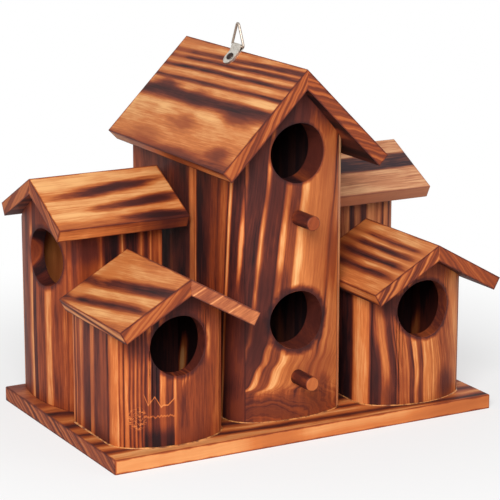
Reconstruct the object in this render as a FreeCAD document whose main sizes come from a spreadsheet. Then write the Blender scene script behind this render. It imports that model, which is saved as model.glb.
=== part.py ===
import FreeCAD, Part
import Sketcher
import math
import os

# Multi-room birdhouse of flame-finished softwood boards.
# Origin: middle of the plate's underside. +X right, +Y towards the back, +Z up. Millimetres.

SIZES = {
    # Base plate
    "plate_side_margin": 10,
    "plate_depth": 180,
    "plate_thickness": 10,
    "plate_edge_round": 1,
    "rear_inset": 2,
    # Boards and bores that all five houses share
    "roof_board": 9.5,
    "entrance_bore": 40,
    # Tower: two rooms, one above the other
    "tower_width": 87,
    "tower_wall": 8,
    "tower_front_inset": 18.3,
    "tower_bow": 24,
    "tower_corner": 19,
    "tower_face_thickness": 25,
    "tower_bow_wall": 19,
    "tower_fore_strip": 65.7,
    "tower_ridge": 249.5,
    "tower_pitch": 45,
    "tower_eave_reach": 62.5,
    "tower_roof_overhang": 10.8,
    "tower_low_hole": 79,
    "tower_high_hole": 192.5,
    "tower_shelf_height": 130,
    "tower_shelf_thickness": 8,
    # Perches under the tower's entrances
    "perch_diameter": 10,
    "perch_projection": 20,
    "perch_seat": 12,
    "perch_end_bevel": 0.8,
    "perch_glue_gap": 0.05,
    "perch_low": 39.5,
    "perch_high": 149,
    # Front houses, one each side of the tower
    "front_gap": 9.5,
    "front_width": 82,
    "front_wall": 6,
    "front_inset": 7.2,
    "front_rear_gap": 15.5,
    "front_bow": 26,
    "front_corner": 20,
    "front_face_thickness": 17,
    "front_bow_wall": 10,
    "front_ridge": 125,
    "front_pitch": 29.5,
    "front_roof_overhang": 16,
    "front_hole": 77,
    # Side houses, behind the front ones, which look out sideways
    "side_eave_reach": 49,
    "side_ridge": 169.5,
    "side_pitch": 28,
    "side_gap": 16.5,
    "side_length": 76.3,
    "side_roof_overhang": 8.7,
    "side_left_roof_gap": 5.2,
    "side_bow_radius": 100,
    "side_bow_from_rear": 34,
    "side_corner": 10,
    "side_face_thickness": 14,
    "side_bow_wall": 10,
    "side_wall": 6,
    "side_depth": 78,
    "side_hole": 114,
    # Hanger: a folded strap screwed to the tower's roof, and a triangular wire ring
    "hanger_place": 12,
    "strap_width": 12,
    "strap_thickness": 0.8,
    "strap_fold_angle": 25,
    "knuckle_past_ridge": 2,
    "screw_from_ridge": 7,
    "wire_diameter": 1.8,
    "wire_clearance": 0.08,
    "ring_side_gap": 0.4,
    "ring_height": 15.5,
    "ring_corner": 1.2,
    "ring_top_radius": 1.8,
    "screw_shank": 2.4,
    "screw_length": 6.8,
    "screw_point": 2.2,
    "screw_head": 5.6,
    "screw_head_height": 1.7,
    "screw_head_rim": 0.5,
    "screw_clearance": 0.1,
    "pilot_spare": 0.2,
}

SIDES = {"left": -1, "right": 1}
CUT_MARGIN = 5
X_AXIS, Y_AXIS = range(-1, -3, -1)
ORIGIN = X_AXIS
START, END, CENTRE = range(1, 4)

doc = FreeCAD.newDocument("birdhouse")


def make_sheet():
    """Spreadsheet with one named cell for each driving size."""
    table = doc.addObject("Spreadsheet::Sheet", "sizes")
    for row, (alias, number) in enumerate(SIZES.items(), start=1):
        table.set(f"A{row}", alias)
        table.set(f"B{row}", str(number))
        table.setAlias(f"B{row}", alias)
    doc.recompute()
    return table


sheet = make_sheet()

# Levels, planes and reaches that several pieces share, as expressions of the sheet
FLOOR = "sizes.plate_thickness"
REAR = "(sizes.plate_depth / 2 - sizes.rear_inset)"
TOWER_NOSE = "(sizes.plate_depth / 2 - sizes.tower_front_inset)"
TOWER_HALF = "(sizes.tower_width / 2)"
TOWER_INSIDE = "(sizes.tower_width / 2 - sizes.tower_wall)"
FRONT_HALF = "(sizes.front_width / 2)"
FRONT_INSIDE = "(sizes.front_width / 2 - sizes.front_wall)"
FRONT_EAVE = "(sizes.front_gap + sizes.front_width / 2)"
FRONT_MIDDLE = f"({TOWER_HALF} + {FRONT_EAVE})"
FRONT_NOSE = "(sizes.plate_depth / 2 - sizes.front_inset)"
PLATE_HALF_WIDTH = f"({FRONT_MIDDLE} + {FRONT_HALF} + sizes.plate_side_margin)"
SIDE_AXIS = f"({REAR} - sizes.side_eave_reach)"
SIDE_FRONT = f"({REAR} - sizes.side_depth)"
SIDE_INNER = f"({TOWER_HALF} + sizes.side_gap)"
SIDE_NOSE = f"({SIDE_INNER} + sizes.side_length)"
WIRE_HOLE_RADIUS = "(sizes.wire_diameter / 2 + sizes.wire_clearance)"
KNUCKLE_RADIUS = f"({WIRE_HOLE_RADIUS} + sizes.strap_thickness)"
STRAP_TOP = "(2 * sizes.strap_thickness)"


def value(expression):
    """Number that an expression of the sheet gives."""
    return float(sheet.evalExpression(expression))


def under_roof(ridge, pitch, reach):
    """Height of a roof board's underside, as an expression, at a reach from the ridge."""
    return f"({ridge} - sizes.roof_board / cos({pitch}) - ({reach}) * tan({pitch}))"


def new_body(label):
    """Empty solid with its own name."""
    body = doc.addObject("PartDesign::Body", label)
    body.Label = label
    return body


def new_sketch(body, plane, offset="0"):
    """Sketch on one of the body's origin planes, moved along the plane's normal."""
    sketch = body.newObject("Sketcher::SketchObject", "sketch")
    support = next(item for item in body.Origin.OriginFeatures if item.Role == plane)
    sketch.AttachmentSupport = [(support, "")]
    sketch.MapMode = "FlatFace"
    sketch.setExpression("AttachmentOffset.Base.z", offset)
    return sketch


def limit(sketch, kind, *where, size):
    """Dimension in a sketch, bound to an expression."""
    index = sketch.addConstraint(Sketcher.Constraint(kind, *where, value(size)))
    sketch.setExpression(f"Constraints[{index}]", size)


def place_x(sketch, geometry, vertex, x):
    """Fix a point's distance from the sketch's upright axis."""
    if x == "0":
        sketch.addConstraint(Sketcher.Constraint("PointOnObject", geometry, vertex, Y_AXIS))
    else:
        limit(sketch, "DistanceX", ORIGIN, START, geometry, vertex, size=x)


def place_y(sketch, geometry, vertex, y):
    """Fix a point's distance from the sketch's level axis."""
    if y == "0":
        sketch.addConstraint(Sketcher.Constraint("PointOnObject", geometry, vertex, X_AXIS))
    else:
        limit(sketch, "DistanceY", ORIGIN, START, geometry, vertex, size=y)


def place_point(sketch, geometry, vertex, x, y):
    """Fix a point of a sketch at two expressions."""
    place_x(sketch, geometry, vertex, x)
    place_y(sketch, geometry, vertex, y)


def vector(x, y):
    """Point of a sketch from two expressions."""
    return FreeCAD.Vector(value(x), value(y), 0)


def draw_line(sketch, start, end):
    return sketch.addGeometry(Part.LineSegment(start, end))


def draw_arc(sketch, centre, radius, start_angle, end_angle):
    circle = Part.Circle(centre, FreeCAD.Vector(0, 0, 1), radius)
    return sketch.addGeometry(Part.ArcOfCircle(circle, start_angle, end_angle))


def join(sketch, first, first_vertex, second, second_vertex):
    sketch.addConstraint(Sketcher.Constraint("Coincident", first, first_vertex, second, second_vertex))


def touch(sketch, first, first_vertex, second, second_vertex):
    """Join two ends so that the curves run on without a corner."""
    sketch.addConstraint(Sketcher.Constraint("Tangent", first, first_vertex, second, second_vertex))


def draw_outline(sketch, corners):
    """Closed outline of straight edges through corners, each a pair of expressions."""
    points = [vector(x, y) for x, y in corners]
    lines = [draw_line(sketch, a, b) for a, b in zip(points, points[1:] + points[:1])]
    for line, following in zip(lines, lines[1:] + lines[:1]):
        join(sketch, line, END, following, START)
    for line, (x, y) in zip(lines, corners):
        place_point(sketch, line, START, x, y)


def draw_circle(sketch, x, y, diameter):
    circle = Part.Circle(vector(x, y), FreeCAD.Vector(0, 0, 1), value(diameter) / 2)
    index = sketch.addGeometry(circle)
    place_point(sketch, index, CENTRE, x, y)
    limit(sketch, "Diameter", index, size=diameter)


def pad(body, sketch, length, backwards=False):
    """Solid from a sketch."""
    feature = body.newObject("PartDesign::Pad", "pad")
    feature.Profile = sketch
    feature.setExpression("Length", length)
    feature.Reversed = backwards
    doc.recompute()
    return feature


def cut(body, sketch, length=None, backwards=False):
    """Cut a sketch out of a body, right through unless a depth is given."""
    before = body.Shape.Volume
    feature = body.newObject("PartDesign::Pocket", "cut")
    feature.Profile = sketch
    feature.Reversed = backwards
    if length is None:
        feature.Type = "ThroughAll"
    else:
        feature.setExpression("Length", length)
    doc.recompute()
    if not body.Shape.Volume < before:
        raise RuntimeError(f"{body.Label}: a cut took nothing away")
    return feature


def front_board(label, corners, back, depth):
    """Board with its outline in the XZ plane, from its back towards the front."""
    body = new_body(label)
    sketch = new_sketch(body, "XZ_Plane", f"-({back})")
    draw_outline(sketch, corners)
    pad(body, sketch, depth)
    return body


def side_board(label, corners, inner_end, length, side):
    """Board with its outline in the YZ plane, from its inner end outwards."""
    body = new_body(label)
    sketch = new_sketch(body, "YZ_Plane", f"{side} * ({inner_end})")
    draw_outline(sketch, corners)
    pad(body, sketch, length, backwards=side < 0)
    return body


def roof_section(middle, ridge, pitch, reach, side):
    """Section of one roof board: mitred at the ridge, cut square at the eave."""
    thickness = "sizes.roof_board"
    eave = f"({ridge} - {reach} * tan({pitch}))"
    return [
        (middle, ridge),
        (f"{middle} + {side} * {reach}", eave),
        (f"{middle} + {side} * ({reach} - {thickness} * sin({pitch}))",
         f"{eave} - {thickness} * cos({pitch})"),
        (middle, f"{ridge} - {thickness} / cos({pitch})"),
    ]


def wall_section(middle, ridge, pitch, near, far, side):
    """Section of an upright side wall whose top is bevelled to the roof."""
    return [
        (f"{middle} + {side} * {near}", FLOOR),
        (f"{middle} + {side} * {far}", FLOOR),
        (f"{middle} + {side} * {far}", under_roof(ridge, pitch, far)),
        (f"{middle} + {side} * {near}", under_roof(ridge, pitch, near)),
    ]


def gable_section(middle, ridge, pitch, before, after):
    """Five-sided section of a panel that fills the gable between two walls."""
    return [
        (f"{middle} - {before}", FLOOR),
        (f"{middle} + {after}", FLOOR),
        (f"{middle} + {after}", under_roof(ridge, pitch, after)),
        (middle, under_roof(ridge, pitch, "0")),
        (f"{middle} - {before}", under_roof(ridge, pitch, before)),
    ]


def bow_radius(half, bow, corner):
    """Radius of the broad arc that joins two corner arcs over a given bow."""
    return f"((({half} - {corner}) ^ 2 + {bow} ^ 2 - {corner} ^ 2) / (2 * ({bow} - {corner})))"


def scoop(body, x, y, radius):
    """Hollow a bowed panel from behind, about the upright axis of its bow."""
    sketch = new_sketch(body, "XY_Plane", FLOOR)
    draw_circle(sketch, x, y, f"2 * ({radius})")
    cut(body, sketch, backwards=True)


def bow_front(body, middle, half, nose, bow, corner):
    """Shape a front to a flat arc that turns into the sides through two corner arcs."""
    radius = bow_radius(half, bow, corner)
    shoulder = f"({bow} - {nose})"
    sketch = new_sketch(body, "XY_Plane", FLOOR)
    turn = math.atan2(value(radius) - value(bow), value(half) - value(corner))
    left_join, right_join = math.pi + turn, 2 * math.pi - turn
    left_centre = (f"{middle} - {half} + {corner}", shoulder)
    right_centre = (f"{middle} + {half} - {corner}", shoulder)
    left = draw_arc(sketch, vector(*left_centre), value(corner), math.pi, left_join)
    broad = draw_arc(sketch, vector(middle, f"{radius} - {nose}"), value(radius), left_join, right_join)
    right = draw_arc(sketch, vector(*right_centre), value(corner), right_join, 2 * math.pi)
    far = f"-({nose}) - {CUT_MARGIN}"
    ends = [
        (f"{middle} + {half}", shoulder),
        (f"{middle} + {half} + {CUT_MARGIN}", shoulder),
        (f"{middle} + {half} + {CUT_MARGIN}", far),
        (f"{middle} - {half} - {CUT_MARGIN}", far),
        (f"{middle} - {half} - {CUT_MARGIN}", shoulder),
        (f"{middle} - {half}", shoulder),
    ]
    points = [vector(x, y) for x, y in ends]
    lines = [draw_line(sketch, a, b) for a, b in zip(points, points[1:])]
    touch(sketch, left, END, broad, START)
    touch(sketch, broad, END, right, START)
    join(sketch, right, END, lines[0], START)
    join(sketch, lines[-1], END, left, START)
    for line, following in zip(lines, lines[1:]):
        join(sketch, line, END, following, START)
    for line, (x, y) in zip(lines[1:], ends[1:-1]):
        place_point(sketch, line, START, x, y)
    for arc, centre, vertex in ((left, left_centre, START), (right, right_centre, END)):
        place_point(sketch, arc, CENTRE, *centre)
        limit(sketch, "Radius", arc, size=corner)
        place_y(sketch, arc, vertex, shoulder)
    limit(sketch, "Radius", broad, size=radius)
    cut(body, sketch, backwards=True)


def bow_side(body, side):
    """Shape a side house's outer face to one wide arc with a rounded front corner."""
    radius, corner = "sizes.side_bow_radius", "sizes.side_corner"
    middle = (f"{side} * ({SIDE_NOSE} - {radius})", f"({REAR} - sizes.side_bow_from_rear)")
    corner_y = f"({SIDE_FRONT} + {corner})"
    corner_reach = f"sqrt(({radius} - {corner}) ^ 2 - ({REAR} - sizes.side_bow_from_rear - {corner_y}) ^ 2)"
    corner_centre = (f"{side} * ({SIDE_NOSE} - {radius} + {corner_reach})", corner_y)
    outside = f"{side} * ({SIDE_NOSE} + {CUT_MARGIN})"
    sketch = new_sketch(body, "XY_Plane", FLOOR)
    front_turn = math.asin((value(corner_y) - value(middle[1])) / (value(radius) - value(corner)))
    rear_turn = math.asin((value(REAR) - value(middle[1])) / value(radius))
    rear_reach = f"sqrt({radius} ^ 2 - sizes.side_bow_from_rear ^ 2)"
    rear_end = f"{side} * ({SIDE_NOSE} - {radius} + {rear_reach})"
    if side > 0:
        wide_angles = (front_turn, rear_turn)
        corner_angles = (-math.pi / 2, front_turn)
        wide_front, wide_rear, corner_start, corner_end = START, END, START, END
    else:
        wide_angles = (math.pi - rear_turn, math.pi - front_turn)
        corner_angles = (math.pi - front_turn, 3 * math.pi / 2)
        wide_front, wide_rear, corner_start, corner_end = END, START, END, START
    wide = draw_arc(sketch, vector(*middle), value(radius), *wide_angles)
    small = draw_arc(sketch, vector(*corner_centre), value(corner), *corner_angles)
    ends = [
        (corner_centre[0], SIDE_FRONT),
        (outside, SIDE_FRONT),
        (outside, REAR),
        (rear_end, REAR),
    ]
    points = [vector(x, y) for x, y in ends]
    lines = [draw_line(sketch, a, b) for a, b in zip(points, points[1:])]
    touch(sketch, small, corner_end, wide, wide_front)
    join(sketch, small, corner_start, lines[0], START)
    join(sketch, wide, wide_rear, lines[-1], END)
    for line, following in zip(lines, lines[1:]):
        join(sketch, line, END, following, START)
    place_point(sketch, lines[1], START, *ends[1])
    place_point(sketch, lines[2], START, *ends[2])
    place_point(sketch, lines[0], START, *ends[0])
    place_point(sketch, wide, CENTRE, *middle)
    place_y(sketch, wide, wide_rear, REAR)
    limit(sketch, "Radius", wide, size=radius)
    limit(sketch, "Radius", small, size=corner)
    cut(body, sketch, backwards=True)


def bore_front(body, middle, level, diameter, nose, depth=None):
    """Round hole from the front, right through or to a depth."""
    sketch = new_sketch(body, "XZ_Plane", nose)
    draw_circle(sketch, middle, level, diameter)
    cut(body, sketch, depth)


def make_plate():
    """Base plate with eased edges."""
    body = new_body("base_plate")
    sketch = new_sketch(body, "XY_Plane")
    half_width, half_depth = PLATE_HALF_WIDTH, "sizes.plate_depth / 2"
    draw_outline(sketch, [
        (f"-({half_width})", f"-({half_depth})"),
        (half_width, f"-({half_depth})"),
        (half_width, half_depth),
        (f"-({half_width})", half_depth),
    ])
    slab = pad(body, sketch, FLOOR)
    eased = [
        f"Edge{number}" for number, edge in enumerate(slab.Shape.Edges, start=1)
        if edge.CenterOfMass.z > value("sizes.plate_edge_round")
    ]
    fillet = body.newObject("PartDesign::Fillet", "eased_edges")
    fillet.Base = (slab, eased)
    fillet.setExpression("Radius", "sizes.plate_edge_round")
    doc.recompute()


def make_tower():
    """Tall middle house: two-strip side walls, a thick bowed front hollowed behind, a back and a shelf."""
    ridge, pitch = "sizes.tower_ridge", "sizes.tower_pitch"
    shape = ("0", TOWER_HALF, TOWER_NOSE, "sizes.tower_bow", "sizes.tower_corner")
    for name, side in SIDES.items():
        section = wall_section("0", ridge, pitch, TOWER_INSIDE, TOWER_HALF, side)
        fore = front_board(f"tower_side_fore_{name}", section, f"sizes.tower_fore_strip - {TOWER_NOSE}",
                           "sizes.tower_fore_strip")
        bow_front(fore, *shape)
        front_board(f"tower_side_aft_{name}", section, REAR,
                    f"{REAR} + {TOWER_NOSE} - sizes.tower_fore_strip")
    gable = gable_section("0", ridge, pitch, TOWER_INSIDE, TOWER_INSIDE)
    front = front_board("tower_front", gable, f"sizes.tower_face_thickness - {TOWER_NOSE}",
                        "sizes.tower_face_thickness")
    bow_front(front, *shape)
    radius = bow_radius(TOWER_HALF, "sizes.tower_bow", "sizes.tower_corner")
    scoop(front, "0", f"{radius} - {TOWER_NOSE}", f"{radius} - sizes.tower_bow_wall")
    for level in ("sizes.tower_low_hole", "sizes.tower_high_hole"):
        bore_front(front, "0", level, "sizes.entrance_bore", TOWER_NOSE)
    for level in ("sizes.perch_low", "sizes.perch_high"):
        bore_front(front, "0", level, "sizes.perch_diameter + 2 * sizes.perch_glue_gap",
                   TOWER_NOSE, "sizes.perch_seat")
    front_board("tower_back", gable, REAR, "sizes.tower_wall")
    shelf_top = "sizes.tower_shelf_height + sizes.tower_shelf_thickness"
    front_board("tower_shelf", [
        (f"-{TOWER_INSIDE}", "sizes.tower_shelf_height"),
        (TOWER_INSIDE, "sizes.tower_shelf_height"),
        (TOWER_INSIDE, shelf_top),
        (f"-{TOWER_INSIDE}", shelf_top),
    ], f"{REAR} - sizes.tower_wall",
        f"{REAR} - sizes.tower_wall + {TOWER_NOSE} - sizes.tower_face_thickness")


def make_tower_roof():
    """Two mitred boards; the left one has the pilot hole of the hanger's screw."""
    front = f"({TOWER_NOSE} + sizes.tower_roof_overhang)"
    for name, side in SIDES.items():
        section = roof_section("0", "sizes.tower_ridge", "sizes.tower_pitch", "sizes.tower_eave_reach", side)
        board = front_board(f"tower_roof_{name}", section, REAR, f"{REAR} + {front}")
        if side < 0:
            sketch = new_sketch(board, "XY_Plane", "sizes.tower_ridge")
            sketch.AttachmentOffset = FreeCAD.Placement(
                FreeCAD.Vector(), FreeCAD.Rotation(FreeCAD.Vector(0, -1, 0), value("sizes.tower_pitch")))
            sketch.setExpression("AttachmentOffset.Rotation.Angle", "sizes.tower_pitch")
            sketch.setExpression("AttachmentOffset.Base.z", "sizes.tower_ridge")
            draw_circle(sketch, "-sizes.screw_from_ridge", "sizes.hanger_place",
                        "sizes.screw_shank + 2 * sizes.screw_clearance")
            cut(board, sketch, f"sizes.screw_length - {STRAP_TOP} + sizes.pilot_spare")


def make_perch(label, level):
    """Dowel glued into the tower's front, with an eased outer end."""
    body = new_body(label)
    sketch = new_sketch(body, "XZ_Plane", f"{TOWER_NOSE} - sizes.perch_seat")
    draw_circle(sketch, "0", level, "sizes.perch_diameter")
    dowel = pad(body, sketch, "sizes.perch_seat + sizes.perch_projection")
    outer = min(range(len(dowel.Shape.Edges)), key=lambda index: dowel.Shape.Edges[index].CenterOfMass.y)
    bevel = body.newObject("PartDesign::Chamfer", "eased_end")
    bevel.Base = (dowel, [f"Edge{outer + 1}"])
    bevel.setExpression("Size", "sizes.perch_end_bevel")
    doc.recompute()


def make_front_house(name, side):
    """Low house beside the tower: bowed front, two side walls, a back and two roof boards."""
    middle = f"{side} * {FRONT_MIDDLE}"
    ridge, pitch = "sizes.front_ridge", "sizes.front_pitch"
    nose = FRONT_NOSE
    back = f"({SIDE_FRONT} - sizes.front_rear_gap)"
    depth = f"({nose} + {back})"
    shape = (middle, FRONT_HALF, nose, "sizes.front_bow", "sizes.front_corner")
    for place, hand in (("outer", side), ("inner", -side)):
        section = wall_section(middle, ridge, pitch, FRONT_INSIDE, FRONT_HALF, hand)
        wall = front_board(f"front_{name}_wall_{place}", section, back, depth)
        bow_front(wall, *shape)
        boards = roof_section(middle, ridge, pitch, FRONT_EAVE, hand)
        front_board(f"front_{name}_roof_{place}", boards, back, f"{depth} + sizes.front_roof_overhang")
    gable = gable_section(middle, ridge, pitch, FRONT_INSIDE, FRONT_INSIDE)
    face = front_board(f"front_{name}_face", gable, f"sizes.front_face_thickness - {nose}",
                       "sizes.front_face_thickness")
    bow_front(face, *shape)
    radius = bow_radius(FRONT_HALF, "sizes.front_bow", "sizes.front_corner")
    scoop(face, middle, f"{radius} - {nose}", f"{radius} - sizes.front_bow_wall")
    bore_front(face, middle, "sizes.front_hole", "sizes.entrance_bore", nose)
    front_board(f"front_{name}_back", gable, back, "sizes.front_wall")


def make_side_house(name, side):
    """House at the rear that looks out sideways, flush with the others at the back."""
    axis, ridge, pitch = SIDE_AXIS, "sizes.side_ridge", "sizes.side_pitch"
    wall = "sizes.side_wall"
    to_front = "(sizes.side_depth - sizes.side_eave_reach)"
    to_rear = "sizes.side_eave_reach"
    roof_gap = "sizes.side_left_roof_gap" if side < 0 else "0"
    for place, hand, reach in (("front", -1, to_front), ("rear", 1, to_rear)):
        section = wall_section(axis, ridge, pitch, f"({reach} - {wall})", reach, hand)
        board = side_board(f"side_{name}_wall_{place}", section, SIDE_INNER, "sizes.side_length", side)
        bow_side(board, side)
        boards = roof_section(axis, ridge, pitch, "sizes.side_eave_reach", hand)
        side_board(f"side_{name}_roof_{place}", boards, f"{TOWER_HALF} + {roof_gap}",
                   f"sizes.side_gap + sizes.side_length + sizes.side_roof_overhang - {roof_gap}", side)
    gable = gable_section(axis, ridge, pitch, f"({to_front} - {wall})", f"({to_rear} - {wall})")
    face = side_board(f"side_{name}_face", gable, f"{SIDE_NOSE} - sizes.side_face_thickness",
                      "sizes.side_face_thickness", side)
    bow_side(face, side)
    radius = "sizes.side_bow_radius"
    scoop(face, f"{side} * ({SIDE_NOSE} - {radius})", f"({REAR} - sizes.side_bow_from_rear)",
          f"{radius} - sizes.side_bow_wall")
    sketch = new_sketch(face, "YZ_Plane", f"{side} * {SIDE_NOSE}")
    draw_circle(sketch, axis, "sizes.side_hole", "sizes.entrance_bore")
    cut(face, sketch, backwards=side < 0)
    side_board(f"side_{name}_end", gable, SIDE_INNER, wall, side)


def on_slope(body, along, above):
    """Stand a body on the tower's left slope, a way up it from the ridge and off its surface."""
    pitch = "sizes.tower_pitch"
    body.Placement = FreeCAD.Placement(
        FreeCAD.Vector(), FreeCAD.Rotation(FreeCAD.Vector(0, -1, 0), value(pitch)))
    body.setExpression("Placement.Rotation.Angle", pitch)
    body.setExpression("Placement.Base.x", f"{along} * cos({pitch}) - {above} * sin({pitch})")
    body.setExpression("Placement.Base.y", "sizes.hanger_place")
    body.setExpression("Placement.Base.z",
                       f"sizes.tower_ridge + {along} * sin({pitch}) + {above} * cos({pitch})")


def make_strap():
    """Sheet strap doubled over, with a knuckle at the fold and a rounded end under the screw."""
    body = new_body("hanger_strap")
    thickness, angle = "sizes.strap_thickness", "sizes.strap_fold_angle"
    knuckle = ("sizes.knuckle_past_ridge", KNUCKLE_RADIUS)
    end = "-(sizes.screw_from_ridge + sizes.strap_width / 2)"
    sketch = new_sketch(body, "XZ_Plane")

    def fold_line(radius, level):
        """Sloping face of the upper leaf, from the knuckle down to the flat part."""
        start = (f"{knuckle[0]} - {radius} * sin({angle})", f"{knuckle[1]} + {radius} * cos({angle})")
        run = f"(({knuckle[1]} + {radius} * cos({angle}) - {level}) / tan({angle}))"
        return start, (f"{knuckle[0]} - {radius} * sin({angle}) - {run}", level)

    tilt = math.radians(value(angle))
    top_turn = math.pi / 2 + tilt
    for radius, level in ((KNUCKLE_RADIUS, STRAP_TOP), (WIRE_HOLE_RADIUS, thickness)):
        bottom = f"{knuckle[1]} - {radius}"
        start, foot = fold_line(radius, level)
        curl = draw_arc(sketch, vector(*knuckle), value(radius), -math.pi / 2, top_turn)
        slope = draw_line(sketch, vector(*start), vector(*foot))
        place_point(sketch, curl, CENTRE, *knuckle)
        limit(sketch, "Radius", curl, size=radius)
        touch(sketch, curl, END, slope, START)
        place_point(sketch, slope, END, *foot)
        if radius == KNUCKLE_RADIUS:
            corners = [foot, (end, STRAP_TOP), (end, "0"), (knuckle[0], "0")]
            points = [vector(x, y) for x, y in corners]
            leaf = [draw_line(sketch, a, b) for a, b in zip(points, points[1:])]
            join(sketch, slope, END, leaf[0], START)
            join(sketch, leaf[0], END, leaf[1], START)
            join(sketch, leaf[1], END, leaf[2], START)
            touch(sketch, leaf[2], END, curl, START)
            place_point(sketch, leaf[1], START, *corners[1])
            place_point(sketch, leaf[2], START, *corners[2])
        else:
            floor = draw_line(sketch, vector(*foot), vector(knuckle[0], bottom))
            join(sketch, slope, END, floor, START)
            touch(sketch, floor, END, curl, START)
    leaves = pad(body, sketch, "sizes.strap_width")
    leaves.Midplane = True
    doc.recompute()
    shape_strap_end(body, end)
    hole = new_sketch(body, "XY_Plane", STRAP_TOP)
    draw_circle(hole, "-sizes.screw_from_ridge", "0", "sizes.screw_shank + 2 * sizes.screw_clearance")
    cut(body, hole)
    on_slope(body, "0", "0")


def shape_strap_end(body, end):
    """Round the strap's free end about the screw."""
    half = "sizes.strap_width / 2"
    past = f"{end} - {CUT_MARGIN}"
    centre = "-sizes.screw_from_ridge"
    sketch = new_sketch(body, "XY_Plane", STRAP_TOP)
    arc = draw_arc(sketch, vector(centre, "0"), value(half), math.pi / 2, 3 * math.pi / 2)
    corners = [(centre, f"-({half})"), (past, f"-({half})"), (past, half), (centre, half)]
    points = [vector(x, y) for x, y in corners]
    lines = [draw_line(sketch, a, b) for a, b in zip(points, points[1:])]
    join(sketch, arc, END, lines[0], START)
    join(sketch, lines[0], END, lines[1], START)
    join(sketch, lines[1], END, lines[2], START)
    join(sketch, lines[2], END, arc, START)
    place_point(sketch, arc, CENTRE, centre, "0")
    limit(sketch, "Radius", arc, size=half)
    place_x(sketch, arc, START, centre)
    place_x(sketch, arc, END, centre)
    place_point(sketch, lines[1], START, *corners[1])
    place_point(sketch, lines[2], START, *corners[2])
    cut(body, sketch)


def make_screw():
    """Round-headed screw through the strap into the roof board."""
    body = new_body("hanger_screw")
    shank, head = "sizes.screw_shank / 2", "sizes.screw_head / 2"
    point_top = "-(sizes.screw_length - sizes.screw_point)"
    rise = "(sizes.screw_head_height - sizes.screw_head_rim)"
    dome = f"((({head}) ^ 2 + {rise} ^ 2) / (2 * {rise}))"
    sketch = new_sketch(body, "XZ_Plane")
    corners = [
        ("0", "sizes.screw_head_height"),
        ("0", "-sizes.screw_length"),
        (shank, point_top),
        (shank, "0"),
        (head, "0"),
        (head, "sizes.screw_head_rim"),
    ]
    points = [vector(x, y) for x, y in corners]
    lines = [draw_line(sketch, a, b) for a, b in zip(points, points[1:])]
    centre = ("0", f"sizes.screw_head_height - {dome}")
    start_angle = math.acos(value(head) / value(dome))
    crown = draw_arc(sketch, vector(*centre), value(dome), start_angle, math.pi / 2)
    for line, following in zip(lines, lines[1:]):
        join(sketch, line, END, following, START)
    for line, (x, y) in zip(lines, corners):
        place_point(sketch, line, START, x, y)
    join(sketch, lines[-1], END, crown, START)
    join(sketch, crown, END, lines[0], START)
    place_point(sketch, lines[-1], END, *corners[-1])
    place_x(sketch, crown, CENTRE, "0")
    turned = body.newObject("PartDesign::Revolution", "turned")
    turned.Profile = sketch
    turned.ReferenceAxis = (sketch, ["V_Axis"])
    turned.Angle = 360
    doc.recompute()
    on_slope(body, "(-sizes.screw_from_ridge)", STRAP_TOP)


def make_ring():
    """Triangular wire ring whose lower leg turns in the strap's knuckle."""
    body = new_body("hanger_ring")
    straight = "(sizes.strap_width / 2 + sizes.ring_side_gap)"
    corner, crown = "sizes.ring_corner", "sizes.ring_top_radius"
    top = f"(sizes.ring_height - {crown})"
    path = new_sketch(body, "YZ_Plane")
    run, rise = value(straight), value(top) - value(corner)
    span = math.hypot(run, rise)
    lean = math.atan2(rise, run) + math.asin((value(crown) - value(corner)) / span)
    away = math.pi / 2 - lean
    origin = FreeCAD.Vector()
    right_centre, left_centre = vector(straight, corner), vector(f"-{straight}", corner)
    top_centre = vector("0", top)

    def rim(centre, radius, angle):
        return centre + FreeCAD.Vector(math.cos(angle), math.sin(angle), 0) * radius

    small, large = value(corner), value(crown)
    leg_right = draw_line(path, origin, FreeCAD.Vector(run, 0, 0))
    bend_right = draw_arc(path, right_centre, small, -math.pi / 2, away)
    flank_right = draw_line(path, rim(right_centre, small, away), rim(top_centre, large, away))
    bend_top = draw_arc(path, top_centre, large, away, math.pi - away)
    flank_left = draw_line(path, rim(top_centre, large, math.pi - away),
                           rim(left_centre, small, math.pi - away))
    bend_left = draw_arc(path, left_centre, small, math.pi - away, 3 * math.pi / 2)
    leg_left = draw_line(path, FreeCAD.Vector(-run, 0, 0), origin)
    chain = [leg_right, bend_right, flank_right, bend_top, flank_left, bend_left, leg_left]
    for first, second in zip(chain, chain[1:]):
        touch(path, first, END, second, START)
    join(path, leg_right, START, ORIGIN, START)
    join(path, leg_left, END, ORIGIN, START)
    for leg in (leg_right, leg_left):
        path.addConstraint(Sketcher.Constraint("Horizontal", leg))
    for bend, size in ((bend_right, corner), (bend_top, crown), (bend_left, corner)):
        limit(path, "Radius", bend, size=size)
    place_x(path, bend_right, CENTRE, straight)
    place_x(path, bend_left, CENTRE, f"-{straight}")
    place_point(path, bend_top, CENTRE, "0", top)
    section = new_sketch(body, "XZ_Plane")
    draw_circle(section, "0", "0", "sizes.wire_diameter")
    doc.recompute()
    wire = body.newObject("PartDesign::AdditivePipe", "wire")
    wire.Profile = section
    wire.Spine = (path, [f"Edge{number}" for number in range(1, len(chain) + 1)])
    doc.recompute()
    pitch = "sizes.tower_pitch"
    along, above = "sizes.knuckle_past_ridge", KNUCKLE_RADIUS
    body.setExpression("Placement.Base.x", f"{along} * cos({pitch}) - {above} * sin({pitch})")
    body.setExpression("Placement.Base.y", "sizes.hanger_place")
    body.setExpression("Placement.Base.z",
                       f"sizes.tower_ridge + {along} * sin({pitch}) + {above} * cos({pitch})")


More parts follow.
